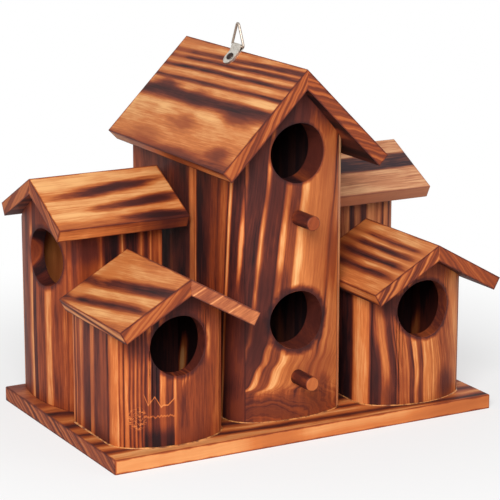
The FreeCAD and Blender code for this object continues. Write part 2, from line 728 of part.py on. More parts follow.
def check_and_export():
    """Stop on any failed object, then write each piece to its own file."""
    doc.recompute()
    for item in doc.Objects:
        if "Invalid" in item.State or "Error" in item.State:
            raise RuntimeError(f"{item.Label} failed: {item.State}")
    bodies = [item for item in doc.Objects if item.TypeId == "PartDesign::Body"]
    for body in bodies:
        if body.Shape.isNull() or not body.Shape.isValid() or len(body.Shape.Solids) != 1:
            raise RuntimeError(f"{body.Label}: the shape isn't one valid solid")
    os.makedirs("parts", exist_ok=True)
    for body in bodies:
        body.Shape.exportStep(f"parts/{body.Label}.step")
    print(len(bodies), "pieces")


make_plate()
make_tower()
make_tower_roof()
for perch, height in (("perch_lower", "sizes.perch_low"), ("perch_upper", "sizes.perch_high")):
    make_perch(perch, height)
for hand_name, hand_sign in SIDES.items():
    make_front_house(hand_name, hand_sign)
    make_side_house(hand_name, hand_sign)
make_strap()
make_screw()
make_ring()
check_and_export()
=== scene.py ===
"""Multi-room birdhouse in torched pine: a tall bow-fronted tower house, two low houses in front of it
and two long houses beside it on one base plate, each under its own gable roof, with a wire ring to hang it by."""
import math
import random

import bmesh
import bpy
from bpy.props import FloatProperty, FloatVectorProperty, IntProperty, PointerProperty
from mathutils import Matrix, Vector


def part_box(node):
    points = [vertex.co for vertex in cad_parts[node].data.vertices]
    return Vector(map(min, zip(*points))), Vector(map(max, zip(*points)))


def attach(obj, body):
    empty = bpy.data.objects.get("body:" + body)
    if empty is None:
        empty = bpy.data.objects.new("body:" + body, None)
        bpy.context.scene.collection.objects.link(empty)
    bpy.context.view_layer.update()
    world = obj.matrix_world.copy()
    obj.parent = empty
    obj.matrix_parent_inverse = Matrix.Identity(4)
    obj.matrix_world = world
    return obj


bl_info = {
    "name": "Torched pine birdhouse",
    "version": (1, 0, 0),
    "blender": (4, 5, 0),
    "location": "3D View > Sidebar > Birdhouse",
    "description": "Finishes the boards, perches and hanger of a multi-room birdhouse and lights it",
    "category": "Object",
}

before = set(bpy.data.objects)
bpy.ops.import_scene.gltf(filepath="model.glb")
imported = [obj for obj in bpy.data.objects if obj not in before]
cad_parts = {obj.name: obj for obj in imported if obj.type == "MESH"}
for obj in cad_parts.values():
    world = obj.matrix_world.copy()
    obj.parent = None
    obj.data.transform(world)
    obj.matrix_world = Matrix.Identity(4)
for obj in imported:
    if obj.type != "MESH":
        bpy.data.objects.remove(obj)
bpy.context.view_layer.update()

MM = 0.001
PLATE_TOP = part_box("base_plate")[1].z / MM
WELD_REACH = 0.01 * MM
SHARP_EDGE = math.radians(35)

# tone runs from 0, pale gold, over 0.25 orange, 0.5 red brown and 0.75 dark brown, to 1, char
MIDDLE_TONE = 0.4
SCORCHED_TONE = 0.97
BURNT_TONE = 0.9
FAR = 1000.0

# ridges, pitches and middle lines of the three kinds of roof, and the half width of a long house
TOWER_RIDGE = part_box("tower_roof_left")[1].z / MM
TOWER_PITCH = math.radians(45)
FRONT_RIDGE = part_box("front_left_roof_outer")[1].z / MM
FRONT_PITCH = math.radians(29.5)
FRONT_MIDDLE = 94.0
SIDE_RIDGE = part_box("side_left_roof_front")[1].z / MM
SIDE_PITCH = math.radians(28)
SIDE_MIDDLE = 49.0
SIDE_HALF = 33.0
SIDE_ROOF_MIDDLE = 39.0

# radius of the entrances, and the heights of the entrances and the perches
ENTRANCE_RADIUS = 20.0
TOWER_LOW_HOLE = 79.0
TOWER_HIGH_HOLE = 192.5
FRONT_HOLE = 77.0
SIDE_HOLE = 114.0
LOW_PERCH = 39.5
HIGH_PERCH = 149.0

# planes, bows and walls of the houses; a bow is (half width, depth of the bow, radius of its corners)
TOWER_NOSE = -71.7
TOWER_HALF = 43.5
TOWER_BOW = (TOWER_HALF, 24.0, 19.0)
TOWER_WALL = 19.0
TOWER_SEAM = -6.0
FRONT_NOSE = -82.8
FRONT_HALF = 41.0
FRONT_BOW = (FRONT_HALF, 26.0, 20.0)
FRONT_WALL = 10.0
FRONT_WALL_MIDDLE = -38.0
FRONT_REAR = -5.5
SIDE_FRONT = 10.0
SIDE_REAR = 88.0
SIDE_NOSE = 136.3
SIDE_BOW_RADIUS = 100.0
SIDE_BOW_MIDDLE = 54.0
SIDE_WALL = 10.0

# heights from which the patches of the upright boards are measured along the grain
TOWER_START = 143.0
FRONT_LEFT_START = 34.0
FRONT_RIGHT_START = 46.0
FRONT_WALL_START = 50.0
SIDE_WALL_START = 120.0
# a colour ramp holds 32 stops, and each turn of the made-up bands adds four
MOST_WILD_BANDS = 28
# steps of a glue bead along its path, in millimetres, and the sides of its half-round section
BEAD_PITCH = 2.0
BEAD_SIDES = 6

# where the camera stands, in millimetres, and how it is turned
CAMERA_PLACE = Vector((-713.24, -1293.98, 477.49))
CAMERA_RIGHT = Vector((0.87941, -0.47606, -0.00141))
CAMERA_UP = Vector((0.11516, 0.20986, 0.97093))
CAMERA_BACK = Vector((-0.46193, -0.85400, 0.23938))
CAMERA_SHIFT = (0.0416, -0.0045)

UP = (0.0, 0.0, 1.0)
RIGHT = (1.0, 0.0, 0.0)
LEFT = (-1.0, 0.0, 0.0)
FORWARD = (0.0, -1.0, 0.0)
BACKWARD = (0.0, 1.0, 0.0)
WHITE = (1.0, 1.0, 1.0, 1.0)

COLOUR = {"subtype": "COLOR", "min": 0, "max": 1}
SHARE = {"subtype": "FACTOR", "min": 0, "max": 1}
LENGTH = {"subtype": "DISTANCE", "unit": "LENGTH"}


def paint(red, green, blue):
    """Turns screen values from 0 to 255 into the colour that a shader takes."""
    channels = []
    for value in (red, green, blue):
        share = value / 255
        channels.append(share / 12.92 if share <= 0.04045 else ((share + 0.055) / 1.055) ** 2.4)
    return tuple(channels)


class WoodSettings(bpy.types.PropertyGroup):
    pale_gold: FloatVectorProperty(
        name="Pale gold", description="Early wood that the torch hardly touched",
        default=paint(238, 178, 116), **COLOUR)
    orange: FloatVectorProperty(
        name="Orange", description="Lightly toasted wood", default=paint(202, 118, 62), **COLOUR)
    red_brown: FloatVectorProperty(
        name="Red brown", description="Well toasted wood", default=paint(148, 70, 36), **COLOUR)
    dark_brown: FloatVectorProperty(
        name="Dark brown", description="Wood about to char", default=paint(88, 38, 29), **COLOUR)
    char: FloatVectorProperty(
        name="Char", description="Charred late wood", default=paint(34, 16, 19), **COLOUR)
    peach: FloatVectorProperty(
        name="Peach", description="Washed-out tint of the paler boards", default=paint(228, 174, 138), **COLOUR)
    edge_round: FloatProperty(
        name="Edge rounding", description="How far the edges of the boards are eased",
        min=0, max=0.002, default=0.45 * MM, **LENGTH)
    fibre_relief: FloatProperty(
        name="Fibre relief", description="How far the hard grain stands out after torching and brushing",
        min=0, max=0.002, default=0.22 * MM, **LENGTH)
    roughness_clean: FloatProperty(
        name="Roughness of clean wood", description="Satin of the oiled, lightly toasted wood", default=0.5, **SHARE)
    roughness_char: FloatProperty(
        name="Roughness of char", description="Duller surface of the charred bands", default=0.62, **SHARE)
    toast: FloatProperty(
        name="Toast", description="How much darker than drawn the torch left every board", default=0.035, **SHARE)
    gloss: FloatProperty(
        name="Gloss", description="How strongly the oiled wood mirrors the light", default=0.16, **SHARE)


class HangerSettings(bpy.types.PropertyGroup):
    zinc: FloatVectorProperty(
        name="Zinc", description="Plated strap", default=paint(206, 200, 190), **COLOUR)
    wire: FloatVectorProperty(
        name="Wire", description="Duller plating of the wire ring", default=paint(170, 158, 146), **COLOUR)
    tarnish: FloatVectorProperty(
        name="Tarnish", description="Dull and smoky places in the plating", default=paint(122, 106, 92), **COLOUR)
    screw: FloatVectorProperty(
        name="Screw", description="Blackened screw", default=paint(62, 50, 46), **COLOUR)
    roughness: FloatProperty(
        name="Roughness", description="Brushed look of the plating", default=0.34, **SHARE)


class GlueSettings(bpy.types.PropertyGroup):
    bead: FloatProperty(
        name="Bead", description="Radius of the glue squeezed out along the foot of a house",
        min=0, max=0.003, default=0.75 * MM, **LENGTH)
    unevenness: FloatProperty(
        name="Unevenness", description="Share by which the bead swells and thins", default=0.45, **SHARE)
    colour: FloatVectorProperty(
        name="Glue", description="Dried wood glue with scorched spots", default=paint(214, 142, 78), **COLOUR)
    seed: IntProperty(name="Seed", description="Picks another run of the bead", min=0, default=11)


class StageSettings(bpy.types.PropertyGroup):
    floor: FloatVectorProperty(
        name="Floor", description="Pale studio floor", default=(0.93, 0.93, 0.93), **COLOUR)
    floor_size: FloatProperty(
        name="Floor size", description="Side of the floor", min=1, max=40, default=16, **LENGTH)
    key_power: FloatProperty(
        name="Key lamp", description="Soft lamp to the left, in front and above", unit="POWER", min=0, default=30)
    fill_power: FloatProperty(
        name="Fill lamp", description="Weak lamp from the right and the front", unit="POWER", min=0, default=4)
    room_light: FloatProperty(
        name="Room light", description="Strength of the light from all round", min=0, default=0.25)
    lens: FloatProperty(
        name="Lens", description="Focal length of the camera",
        subtype="DISTANCE_CAMERA", unit="CAMERA", min=10, max=400, default=158.36)


def feed(tree, socket, value):
    """Links a number of the node tree to a socket, or sets the socket to a plain value."""
    if isinstance(value, Number):
        value = value.socket
    if isinstance(value, bpy.types.NodeSocket):
        tree.links.new(value, socket)
    else:
        socket.default_value = value


def opaque(colour):
    return (*colour, 1.0)


class Number:
    """A value, vector or colour of a node tree that is reckoned with like a plain number."""

    def __init__(self, tree, socket):
        self.tree = tree
        self.socket = socket

    def __add__(self, other):
        return self.reckon("ADD", other)

    def __sub__(self, other):
        return self.reckon("SUBTRACT", other)

    def __mul__(self, other):
        return self.reckon("MULTIPLY", other)

    def __truediv__(self, other):
        return self.reckon("DIVIDE", other)

    def __abs__(self):
        return self.reckon("ABSOLUTE")

    def reckon(self, operation, *others):
        node = self.tree.nodes.new("ShaderNodeMath")
        node.operation = operation
        for socket, value in zip(node.inputs, (self, *others)):
            feed(self.tree, socket, value)
        return Number(self.tree, node.outputs["Value"])

    def least(self, other):
        return self.reckon("MINIMUM", other)

    def most(self, other):
        return self.reckon("MAXIMUM", other)

    def length(self):
        return vectors(self.tree, "LENGTH", self)

    def remap(self, low, high, to_low=0.0, to_high=1.0, smooth=True):
        """Carries the range from low to high over to another one, and holds it at both ends."""
        node = self.tree.nodes.new("ShaderNodeMapRange")
        node.interpolation_type = "SMOOTHSTEP" if smooth else "LINEAR"
        labels = ("Value", "From Min", "From Max", "To Min", "To Max")
        for label, value in zip(labels, (self, low, high, to_low, to_high)):
            feed(self.tree, node.inputs[label], value)
        return Number(self.tree, node.outputs["Result"])

    def mix(self, first, second):
        """Passes from the first to the second number as this one runs from 0 to 1."""
        node = self.tree.nodes.new("ShaderNodeMix")
        node.data_type = "FLOAT"
        for index, value in ((0, self), (2, first), (3, second)):
            feed(self.tree, node.inputs[index], value)
        return Number(self.tree, node.outputs[0])

    def blend(self, first, second, way="MIX"):
        """Passes from the first to the second colour as this number runs from 0 to 1."""
        node = self.tree.nodes.new("ShaderNodeMix")
        node.data_type = "RGBA"
        node.blend_type = way
        for index, value in ((0, self), (6, first), (7, second)):
            feed(self.tree, node.inputs[index], value)
        return Number(self.tree, node.outputs[2])

    def ramp(self, stops):
        """Looks this number up among (place, colour) stops."""
        node = self.tree.nodes.new("ShaderNodeValToRGB")
        elements = node.color_ramp.elements
        while len(elements) < len(stops):
            elements.new(1.0)
        for element, (place, colour) in zip(elements, stops):
            element.position = place
            element.color = opaque(colour)
        feed(self.tree, node.inputs["Fac"], self)
        return Number(self.tree, node.outputs["Color"])

    def curve(self, points, sharp=False):
        """Looks this number up on a curve through (place, height) points."""
        low, high = points[0][0], points[-1][0]
        least = min(height for _, height in points)
        most = max(height for _, height in points)
        node = self.tree.nodes.new("ShaderNodeFloatCurve")
        curve = node.mapping.curves[0]
        placed = [((place - low) / (high - low), (height - least) / (most - least)) for place, height in points]
        curve.points[0].location = placed[0]
        curve.points[-1].location = placed[-1]
        for x, y in placed[1:-1]:
            curve.points.new(x, y)
        if sharp:
            for point in curve.points:
                point.handle_type = "VECTOR"
        node.mapping.update()
        feed(self.tree, node.inputs["Value"], self.remap(low, high, smooth=False))
        return Number(self.tree, node.outputs["Value"]).remap(0.0, 1.0, least, most, smooth=False)


def vectors(tree, operation, *values):
    node = tree.nodes.new("ShaderNodeVectorMath")
    node.operation = operation
    for socket, value in zip(node.inputs, values):
        feed(tree, socket, value)
    return Number(tree, node.outputs["Value" if operation in ("DOT_PRODUCT", "LENGTH") else "Vector"])


def combine(x, y=0.0, z=0.0):
    tree = next(value.tree for value in (x, y, z) if isinstance(value, Number))
    node = tree.nodes.new("ShaderNodeCombineXYZ")
    for socket, value in zip(node.inputs, (x, y, z)):
        feed(tree, socket, value)
    return Number(tree, node.outputs["Vector"])


def noise(where, detail=2.0, roughness=0.5):
    node = where.tree.nodes.new("ShaderNodeTexNoise")
    for label, value in (("Vector", where), ("Scale", 1.0), ("Detail", detail), ("Roughness", roughness)):
        feed(where.tree, node.inputs[label], value)
    return Number(where.tree, node.outputs["Fac"])


def place_in_mm(tree):
    """Place of a point on its piece, in millimetres."""
    point = tree.nodes.new("ShaderNodeTexCoord").outputs["Object"]
    return vectors(tree, "MULTIPLY", point, (1 / MM, 1 / MM, 1 / MM))


def mirror_or_camera(tree):
    """Gives 1 for what the camera sees, straight or in a mirror or glass, and 0 for light on the object."""
    rays = tree.nodes.new("ShaderNodeLightPath")
    seen = Number(tree, rays.outputs["Is Camera Ray"]).most(rays.outputs["Is Glossy Ray"])
    return seen.most(rays.outputs["Is Transmission Ray"])


def build_group(title, draw, outputs, inputs):
    tree = bpy.data.node_groups.new(title, "ShaderNodeTree")
    for label, default in inputs.items():
        kind = "NodeSocketVector" if isinstance(default, tuple) else "NodeSocketFloat"
        socket = tree.interface.new_socket(name=label.replace("_", " "), in_out="INPUT", socket_type=kind)
        socket.default_value = default
    for label in outputs:
        kind = "NodeSocketColor" if label == "Colour" else "NodeSocketFloat"
        tree.interface.new_socket(name=label, in_out="OUTPUT", socket_type=kind)
    entry = tree.nodes.new("NodeGroupInput")
    ending = tree.nodes.new("NodeGroupOutput")
    results = draw(tree, *[Number(tree, entry.outputs[index]) for index in range(len(inputs))])
    for socket, value in zip(ending.inputs, results):
        feed(tree, socket, value)
    return tree


def shared_group(title, *outputs, **inputs):
    """Makes a function of numbers into a shader node group with named sockets that is built at its first use."""
    def prepare(draw):
        def use(tree, **given):
            node = tree.nodes.new("ShaderNodeGroup")
            node.node_tree = bpy.data.node_groups.get(title) or build_group(title, draw, outputs, inputs)
            for label, value in given.items():
                feed(tree, node.inputs[label.replace("_", " ")], value)
            results = [Number(tree, node.outputs[label]) for label in outputs]
            return results if len(results) > 1 else results[0]
        return use
    return prepare


@shared_group("Board axes", "Across", "Along", "Depth", Start=(0, 0, 0), Across_axis=RIGHT, Grain_axis=UP)
def board_axes(tree, start, across_axis, grain_axis):
    """Measures a point of a board across the grain, along it and out of its face, in millimetres."""
    offset = vectors(tree, "SUBTRACT", place_in_mm(tree), start)
    face = vectors(tree, "CROSS_PRODUCT", across_axis, grain_axis)
    return [vectors(tree, "DOT_PRODUCT", offset, axis) for axis in (across_axis, grain_axis, face)]


@shared_group("Wandering grain", "Ring", Across=0.0, Along=0.0, Depth=0.0, Slant=1.0, Lean=0.0, Fan=0.0, Drift=0.0,
              Wander=2.0, Wander_length=70.0, Seed=0.0)
def wandering_grain(tree, across, along, depth, slant, lean, fan, drift, wander, length, seed):
    """Gives the place of a point in the run of growth rings, which slant, lean, fan out and wander."""
    ring = depth * slant + across - (across * fan + lean) * along - drift
    bend = noise(combine(along / length, across / (length * 0.45), seed), detail=1.5)
    return [ring + (bend - 0.5) * (wander * 2.0)]


@shared_group("Fibre", "Fine", "Coarse", Ring=0.0, Along=0.0, Depth=0.0, Seed=0.0)
def fibre(tree, ring, along, depth, seed):
    """Gives fine and coarse fibres that follow the growth rings."""
    places = [combine(ring / pitch, along / length, depth * (0.13 / pitch) + seed)
              for pitch, length in ((1.15, 26.0), (2.6, 70.0))]
    return [noise(place, detail=3.0, roughness=0.7) for place in places]


@shared_group("Torch play", "Tone", Band=0.3, Fine=0.5, Coarse=0.5, Across=0.0, Along=0.0, Streak=0.3, Cloud=0.2,
              Seed=0.0)
def torch_play(tree, band, fine, coarse, across, along, streak, cloud, seed):
    """Lays the uneven play of the flame and the fibres over the bands of a board."""
    streaks = (coarse - 0.5) * 0.9 + (fine - 0.5) * 1.9
    heat = noise(combine(across / 9.0, along / 34.0, seed + 12.3)).remap(0.3, 0.7, 0.82, 1.22)
    clouds = noise(combine(across / 15.0, along / 48.0, seed + 31.7), detail=5.0, roughness=0.62)
    level = (band - MIDDLE_TONE) * heat + MIDDLE_TONE
    return [level + streaks * streak + (clouds - 0.5) * 3.0 * cloud]


@shared_group("Torch patch", "Tone", Tone=0.3, Across=0.0, Along=0.0, Middle_across=0.0, Middle_along=0.0,
              Half_width=5.0, Half_length=20.0, Tilt=0.0, Aim=0.9, Strength=1.0)
def torch_patch(tree, tone, across, along, middle_across, middle_along, half_width, half_length, tilt, aim, strength):
    """Draws the tone towards another one in a long, ragged patch."""
    end = along - middle_along
    side = across - middle_across - end * tilt
    reach = combine(side / half_width, end / half_length).length()
    ragged = noise(combine(across * 0.3, along * 0.05, middle_along), detail=3.0) - 0.5
    mask = (reach + ragged * 0.9).remap(1.35, 0.25)
    return [(mask * strength).mix(tone, aim)]


@shared_group("Hole scorch", "Tone", Tone=0.3, Across=0.0, Along=0.0, Hole_across=0.0, Hole_along=0.0,
              Radius=ENTRANCE_RADIUS, Reach=4.0, Strength=0.5, Bore_tone=0.55)
def hole_scorch(tree, tone, across, along, hole_across, hole_along, radius, reach, strength, bore_tone):
    """Darkens the wood in a ring round a bored entrance and leaves the bore itself an even brown."""
    side = across - hole_across
    height = along - hole_along
    past = combine(side, height).length() - radius
    uneven = (noise(combine(side * 0.16, height * 0.16, 4.0)) - 0.5) * reach
    mask = (past + uneven).remap(reach, 0.0)
    scorched = (mask * strength).mix(tone, SCORCHED_TONE)
    return [past.remap(0.35, 0.05).mix(scorched, (tone - 0.5) * 0.6 + bore_tone)]


@shared_group("Edge burn", "Tone", Tone=0.3, Across=0.0, Along=0.0, Depth=0.0, Low_across=0.0, High_across=10.0,
              Low_along=0.0, High_along=10.0, Low_depth=0.0, High_depth=10.0, Reach=2.0, Strength=0.7, Unevenness=1.0,
              Seed=0.0)
def edge_burn(tree, tone, across, along, depth, low_across, high_across, low_along, high_along, low_depth, high_depth,
              reach, strength, unevenness, seed):
    """Darkens the wood along the edges of a board, where the torch bites first.

    Of the distances to the board's sides, ends and faces, the middle one is the distance to the nearest edge.
    """
    side = (across - low_across).least(high_across - across)
    end = (along - low_along).least(high_along - along)
    face = (depth - low_depth).least(high_depth - depth)
    edge = side.least(end).most(side.most(end).least(face))
    swell = noise(combine(across / 9.0, along / 16.0, seed), detail=3.0).remap(0.35, 0.68, -0.65, 1.2)
    mask = edge.remap((swell * unevenness + 1.0) * reach, 0.0)
    return [(mask * strength).mix(tone, BURNT_TONE)]


@shared_group("End grain", "Tone", Tone=0.3, Across=0.0, Depth=0.0, Grain_axis=UP, Turn=0.3, Pitch=2.4, End_tone=0.45,
              Contrast=0.7, Seed=0.0)
def end_grain(tree, tone, across, depth, grain_axis, turn, pitch, end_tone, contrast, seed):
    """Shows the growth rings as slanting lines on the sawn ends of a board."""
    normal = tree.nodes.new("ShaderNodeTexCoord").outputs["Normal"]
    facing = abs(vectors(tree, "DOT_PRODUCT", normal, grain_axis))
    wave = (noise(combine(across / 13.0, depth / 7.0, seed)) - 0.5) * 3.0
    line = across * turn + depth + wave
    rings = noise(combine(line / pitch, seed), detail=1.5).remap(0.33, 0.67) - 0.5
    return [facing.remap(0.6, 0.85).mix(tone, rings * contrast + end_tone)]


@shared_group("Torch colour", "Colour", "Roughness", "Height", Tone=0.3, Fine=0.5, Coarse=0.5, Redness=0.0,
              Paleness=0.0)
def torch_colour(tree, tone, fine, coarse, redness, paleness):
    """Turns tone into the colour, roughness and relief of torched pine."""
    wood = bpy.context.scene.birdhouse_wood
    toasted = tone + wood.toast
    warm = toasted.ramp([
        (0.0, wood.pale_gold), (0.25, wood.orange), (0.5, wood.red_brown), (0.75, wood.dark_brown), (1.0, wood.char)])
    cool = toasted.ramp([
        (0.0, wood.peach), (0.3, paint(202, 142, 108)), (0.6, paint(136, 88, 72)), (1.0, paint(70, 54, 58))])
    colour = redness.blend(paleness.blend(warm, cool), (1.0, 0.72, 0.6, 1.0), "MULTIPLY")
    rough = tone.remap(0.2, 1.0, wood.roughness_clean, wood.roughness_char) + (fine - 0.5) * 0.12
    lift = tone.remap(0.0, 1.0, 1.0, 0.0, smooth=False)
    return [colour, rough, fine * 0.35 + coarse * 0.4 + lift * 0.45]


@shared_group("Tarnish", "Spots", "Brushed", Spot_size=2.0, Brushing=12.0)
def tarnish(tree, spot_size, brushing):
    """Spots of tarnish and fine brushing for plated and blackened metal."""
    place = place_in_mm(tree)
    spots = noise(vectors(tree, "DIVIDE", place, combine(spot_size, spot_size, spot_size)), detail=4.0, roughness=0.65)
    stretch = combine(0.6, brushing, 0.6)
    return [spots.remap(0.42, 0.66), noise(vectors(tree, "MULTIPLY", place, stretch), detail=1.0)]


def new_material(name):
    material = bpy.data.materials.new(name)
    material.use_nodes = True
    return material, material.node_tree, material.node_tree.nodes["Principled BSDF"]


def add_bump(tree, shader, height, strength, distance):
    bump = tree.nodes.new("ShaderNodeBump")
    bump.inputs["Strength"].default_value = strength
    bump.inputs["Distance"].default_value = distance
    feed(tree, bump.inputs["Height"], height)
    feed(tree, shader.inputs["Normal"], bump.outputs["Normal"])


def board_reach(node, start, across, grain):
    """Lowest and highest place of a board across the grain, along it and out of its face, in millimetres."""
    axes = (Vector(across), Vector(grain), Vector(across).cross(Vector(grain)))
    origin = Vector(start)
    places = [[(vertex.co / MM - origin).dot(axis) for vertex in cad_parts[node].data.vertices] for axis in axes]
    return [(min(row), max(row)) for row in places]


def blacken_inside(across, depth, tone, inside, hollow):
    """Gives the inner face of a board its tone: a dark one is painted shade, the dark inside a house or under a roof;
    a pale one is untouched wood.
    """
    place, toward, inner_tone = inside
    mask = depth.remap(place + 0.4 * toward, place + 0.1 * toward)
    if hollow:
        # a bowed front is hollowed from behind about the axis of its bow
        middle_across, radius, wall = hollow
        reach = radius - wall
        mask = mask.most(combine(across - middle_across, depth + radius).length().remap(reach + 0.4, reach + 0.1))
    return mask.mix(tone, (tone - 0.5) * 0.5 + inner_tone)


def torched_wood(name, start, across, grain, bands, burn, slant=1.5, lean=0.0, fan=0.0, drift=None, wander=1.5,
                 wander_length=80.0, streak=0.3, cloud=0.2, patches=(), holes=(), redness=0.0, paleness=0.0, seed=0.0,
                 relief=1.0, end=(0.3, 2.4, 0.45, 0.4), inside=(), hollow=(), bore_tone=0.7, finish=None):
    """Makes the torched wood of one board.

    The bands are (millimetres across the grain, tone) from one edge of the board to the other. A patch is its
    middle across and along the grain, half its width and length, the tone it aims at, its strength and its tilt.
    A hole is its place across and along the grain and the reach and strength of the scorch round it.
    """
    wood = bpy.context.scene.birdhouse_wood
    material, tree, shader = new_material(name)
    x, y, depth = board_axes(tree, Start=start, Across_axis=across, Grain_axis=grain)
    place = {"Across": x, "Along": y}
    ring = wandering_grain(tree, **place, Depth=depth, Slant=slant, Lean=lean, Fan=fan, Wander=wander,
                           Wander_length=wander_length, Drift=y.curve(drift) if drift else 0.0, Seed=seed)
    fine, coarse = fibre(tree, Ring=ring, Along=y, Depth=depth, Seed=seed)
    first, last = bands[0][0], bands[-1][0]
    stops = [((middle - first) / (last - first), (level, level, level)) for middle, level in bands]
    band = ring.remap(first, last, smooth=False).ramp(stops)
    tone = torch_play(tree, **place, Band=band, Fine=fine, Coarse=coarse, Streak=streak, Cloud=cloud, Seed=seed)
    if inside:
        tone = blacken_inside(x, depth, tone, inside, hollow)
    for middle_across, middle_along, half_width, half_length, aim, strength, *tilt in patches:
        tone = torch_patch(
            tree, **place, Tone=tone, Middle_across=middle_across, Middle_along=middle_along, Half_width=half_width,
            Half_length=half_length, Aim=aim, Strength=strength, Tilt=tilt[0] if tilt else 0.0)
    for hole_across, hole_along, reach, strength in holes:
        tone = hole_scorch(tree, **place, Tone=tone, Hole_across=hole_across, Hole_along=hole_along, Reach=reach,
                           Strength=strength, Bore_tone=bore_tone)
    if end:
        turn, pitch, end_tone, contrast = end
        tone = end_grain(tree, Tone=tone, Across=x, Depth=depth, Grain_axis=grain, Turn=turn, Pitch=pitch,
                         End_tone=end_tone, Contrast=contrast, Seed=seed)
    tone = edge_burn(tree, **place, Tone=tone, Depth=depth, Seed=seed, **burn)
    if finish:
        tone = finish(x, y, tone)
    colour, rough, height = torch_colour(
        tree, Tone=tone, Fine=fine, Coarse=coarse, Redness=redness, Paleness=paleness)
    feed(tree, shader.inputs["Base Color"], colour)
    feed(tree, shader.inputs["Roughness"], rough)
    shader.inputs["Specular IOR Level"].default_value = wood.gloss
    add_bump(tree, shader, height, 0.8, wood.fibre_relief * relief)
    return material


def bow_radius(half, bow, corner):
    """Radius of the flat arc of a bowed front that turns into its sides through two corner arcs."""
    return ((half - corner) ** 2 + bow ** 2 - corner ** 2) / (2 * (bow - corner))


def wild_bands(low, high, chance, pitch=11.0):
    """Makes up the bands of a board that no one sees from the front, from one side of it to the other."""
    bands = []
    place = low
    while place < high and len(bands) < MOST_WILD_BANDS:
        light = chance.uniform(0.12, 0.42)
        dark = chance.uniform(0.5, 0.95)
        bands += [(place, light), (place + pitch * chance.uniform(0.15, 0.4), light + chance.uniform(0, 0.15)),
                  (place + pitch * chance.uniform(0.45, 0.55), dark),
                  (place + pitch * chance.uniform(0.6, 0.75), dark - chance.uniform(0, 0.2))]
        place += pitch * chance.uniform(0.8, 2.2)
    return bands + [(max(high, bands[-1][0] + 1.0), 0.35)]


def wild_patches(spans, chance):
    """Makes up where the torch stayed longer on such a board, or hardly touched it."""
    return [(chance.uniform(*spans[0]), chance.uniform(*spans[1]), chance.uniform(6, 14), chance.uniform(18, 42), aim,
             chance.uniform(0.45, 0.7), chance.uniform(-0.15, 0.15)) for aim in (0.9, 0.22, 0.85, 0.5)]


def finish_node(name, material):
    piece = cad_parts[name]
    if not piece.material_slots:
        raise RuntimeError("no material slot on " + name)
    for slot in piece.material_slots:
        slot.material = material
    return piece


def ease_edges(piece, width):
    """Rounds the sharp edges of a board and keeps its broad faces flat."""
    weld = piece.modifiers.new("Weld", "WELD")
    weld.merge_threshold = WELD_REACH
    bevel = piece.modifiers.new("Eased edges", "BEVEL")
    bevel.width = width
    bevel.segments = 2
    bevel.limit_method = "ANGLE"
    bevel.angle_limit = SHARP_EDGE
    normals = piece.modifiers.new("Flat faces", "WEIGHTED_NORMAL")
    normals.keep_sharp = False


def finish_board(node, start, across, grain, bands, burn_reach=1.3, burn_strength=0.6, bowed=False, inner=None,
                 **looks):
    """Finishes one board; a bowed one is burnt along its seams and foot, not along the turn of its face.

    The bands are a list or a seed. The inner face, where given, is ("low" or "high" in depth, its tone); a dark inner
    tone paints the shade inside a house or under a roof.
    """
    spans = board_reach(node, start, across, grain)
    if isinstance(bands, int):
        chance = random.Random(bands)
        bands = wild_bands(*spans[0], chance)
        looks["patches"] = [*wild_patches(spans, chance), *looks.get("patches", ())]
    if inner:
        side, tone = inner
        looks["inside"] = (spans[2][0], 1, tone) if side == "low" else (spans[2][1], -1, tone)
    burn = {"Reach": burn_reach, "Strength": burn_strength, "Unevenness": 0.4}
    if bowed:
        spans[2] = (FAR, FAR)
        burn = {"Reach": 0.7, "Strength": 0.4, "Unevenness": 0.0}
        looks["end"] = None
    for label, (low, high) in zip(("across", "along", "depth"), spans):
        burn["Low_" + label] = low
        burn["High_" + label] = high
    material = torched_wood("Torched " + node.replace("_", " "), start, across, grain, bands, burn, **looks)
    ease_edges(finish_node(node, material), bpy.context.scene.birdhouse_wood.edge_round)


def slope(pitch, side):
    """Direction down a roof slope whose boards lie to the left (-1) or the right (1) of the ridge."""
    return (side * math.cos(pitch), 0.0, -math.sin(pitch))


def slope_back(pitch, side):
    """Direction down a roof slope whose boards lie to the front (-1) or the rear (1) of the ridge."""
    return (0.0, side * math.cos(pitch), -math.sin(pitch))


class PieceOperator:
    """Shared by the operators that finish pieces."""
    bl_options = {"REGISTER"}

    @classmethod
    def poll(cls, context):
        return context.scene is not None


class BIRDHOUSE_OT_base_plate(PieceOperator, bpy.types.Operator):
    """Give the base plate its banded, torched pine"""
    bl_idname = "birdhouse.base_plate"
    bl_label = "Base plate"

    def execute(self, context):
        bands = [
            (-90, 0.2), (-85, 0.14), (-82, 0.5), (-79, 0.78), (-76, 0.45), (-71, 0.14), (-66, 0.5), (-62, 0.82),
            (-57, 0.3), (-50, 0.2), (-45, 0.6), (-40, 0.86), (-35, 0.35), (-28, 0.24), (-22, 0.78), (-16, 0.85),
            (-11, 0.3), (-4, 0.2), (2, 0.7), (7, 0.9), (13, 0.4), (22, 0.25), (30, 0.55), (40, 0.4), (52, 0.55),
            (62, 0.42), (76, 0.6), (90, 0.5)]
        front_edge = [
            (-90, 0, 1.5, 400, 0.1, 0.8), (-86, -60, 4, 60, 0.15, 0.6), (-90, -26, 1.6, 24, 0.4, 0.55),
            (-90, 118, 1.6, 42, 0.4, 0.55)]
        finish_board(
            "base_plate", (0, 0, PLATE_TOP), BACKWARD, RIGHT, bands, slant=1.1, lean=-0.05, wander=5.0,
            wander_length=90.0, streak=0.3, cloud=0.25, patches=front_edge, redness=0.1, seed=3.1,
            end=(0.5, 3.0, 0.5, 0.4))
        return {"FINISHED"}


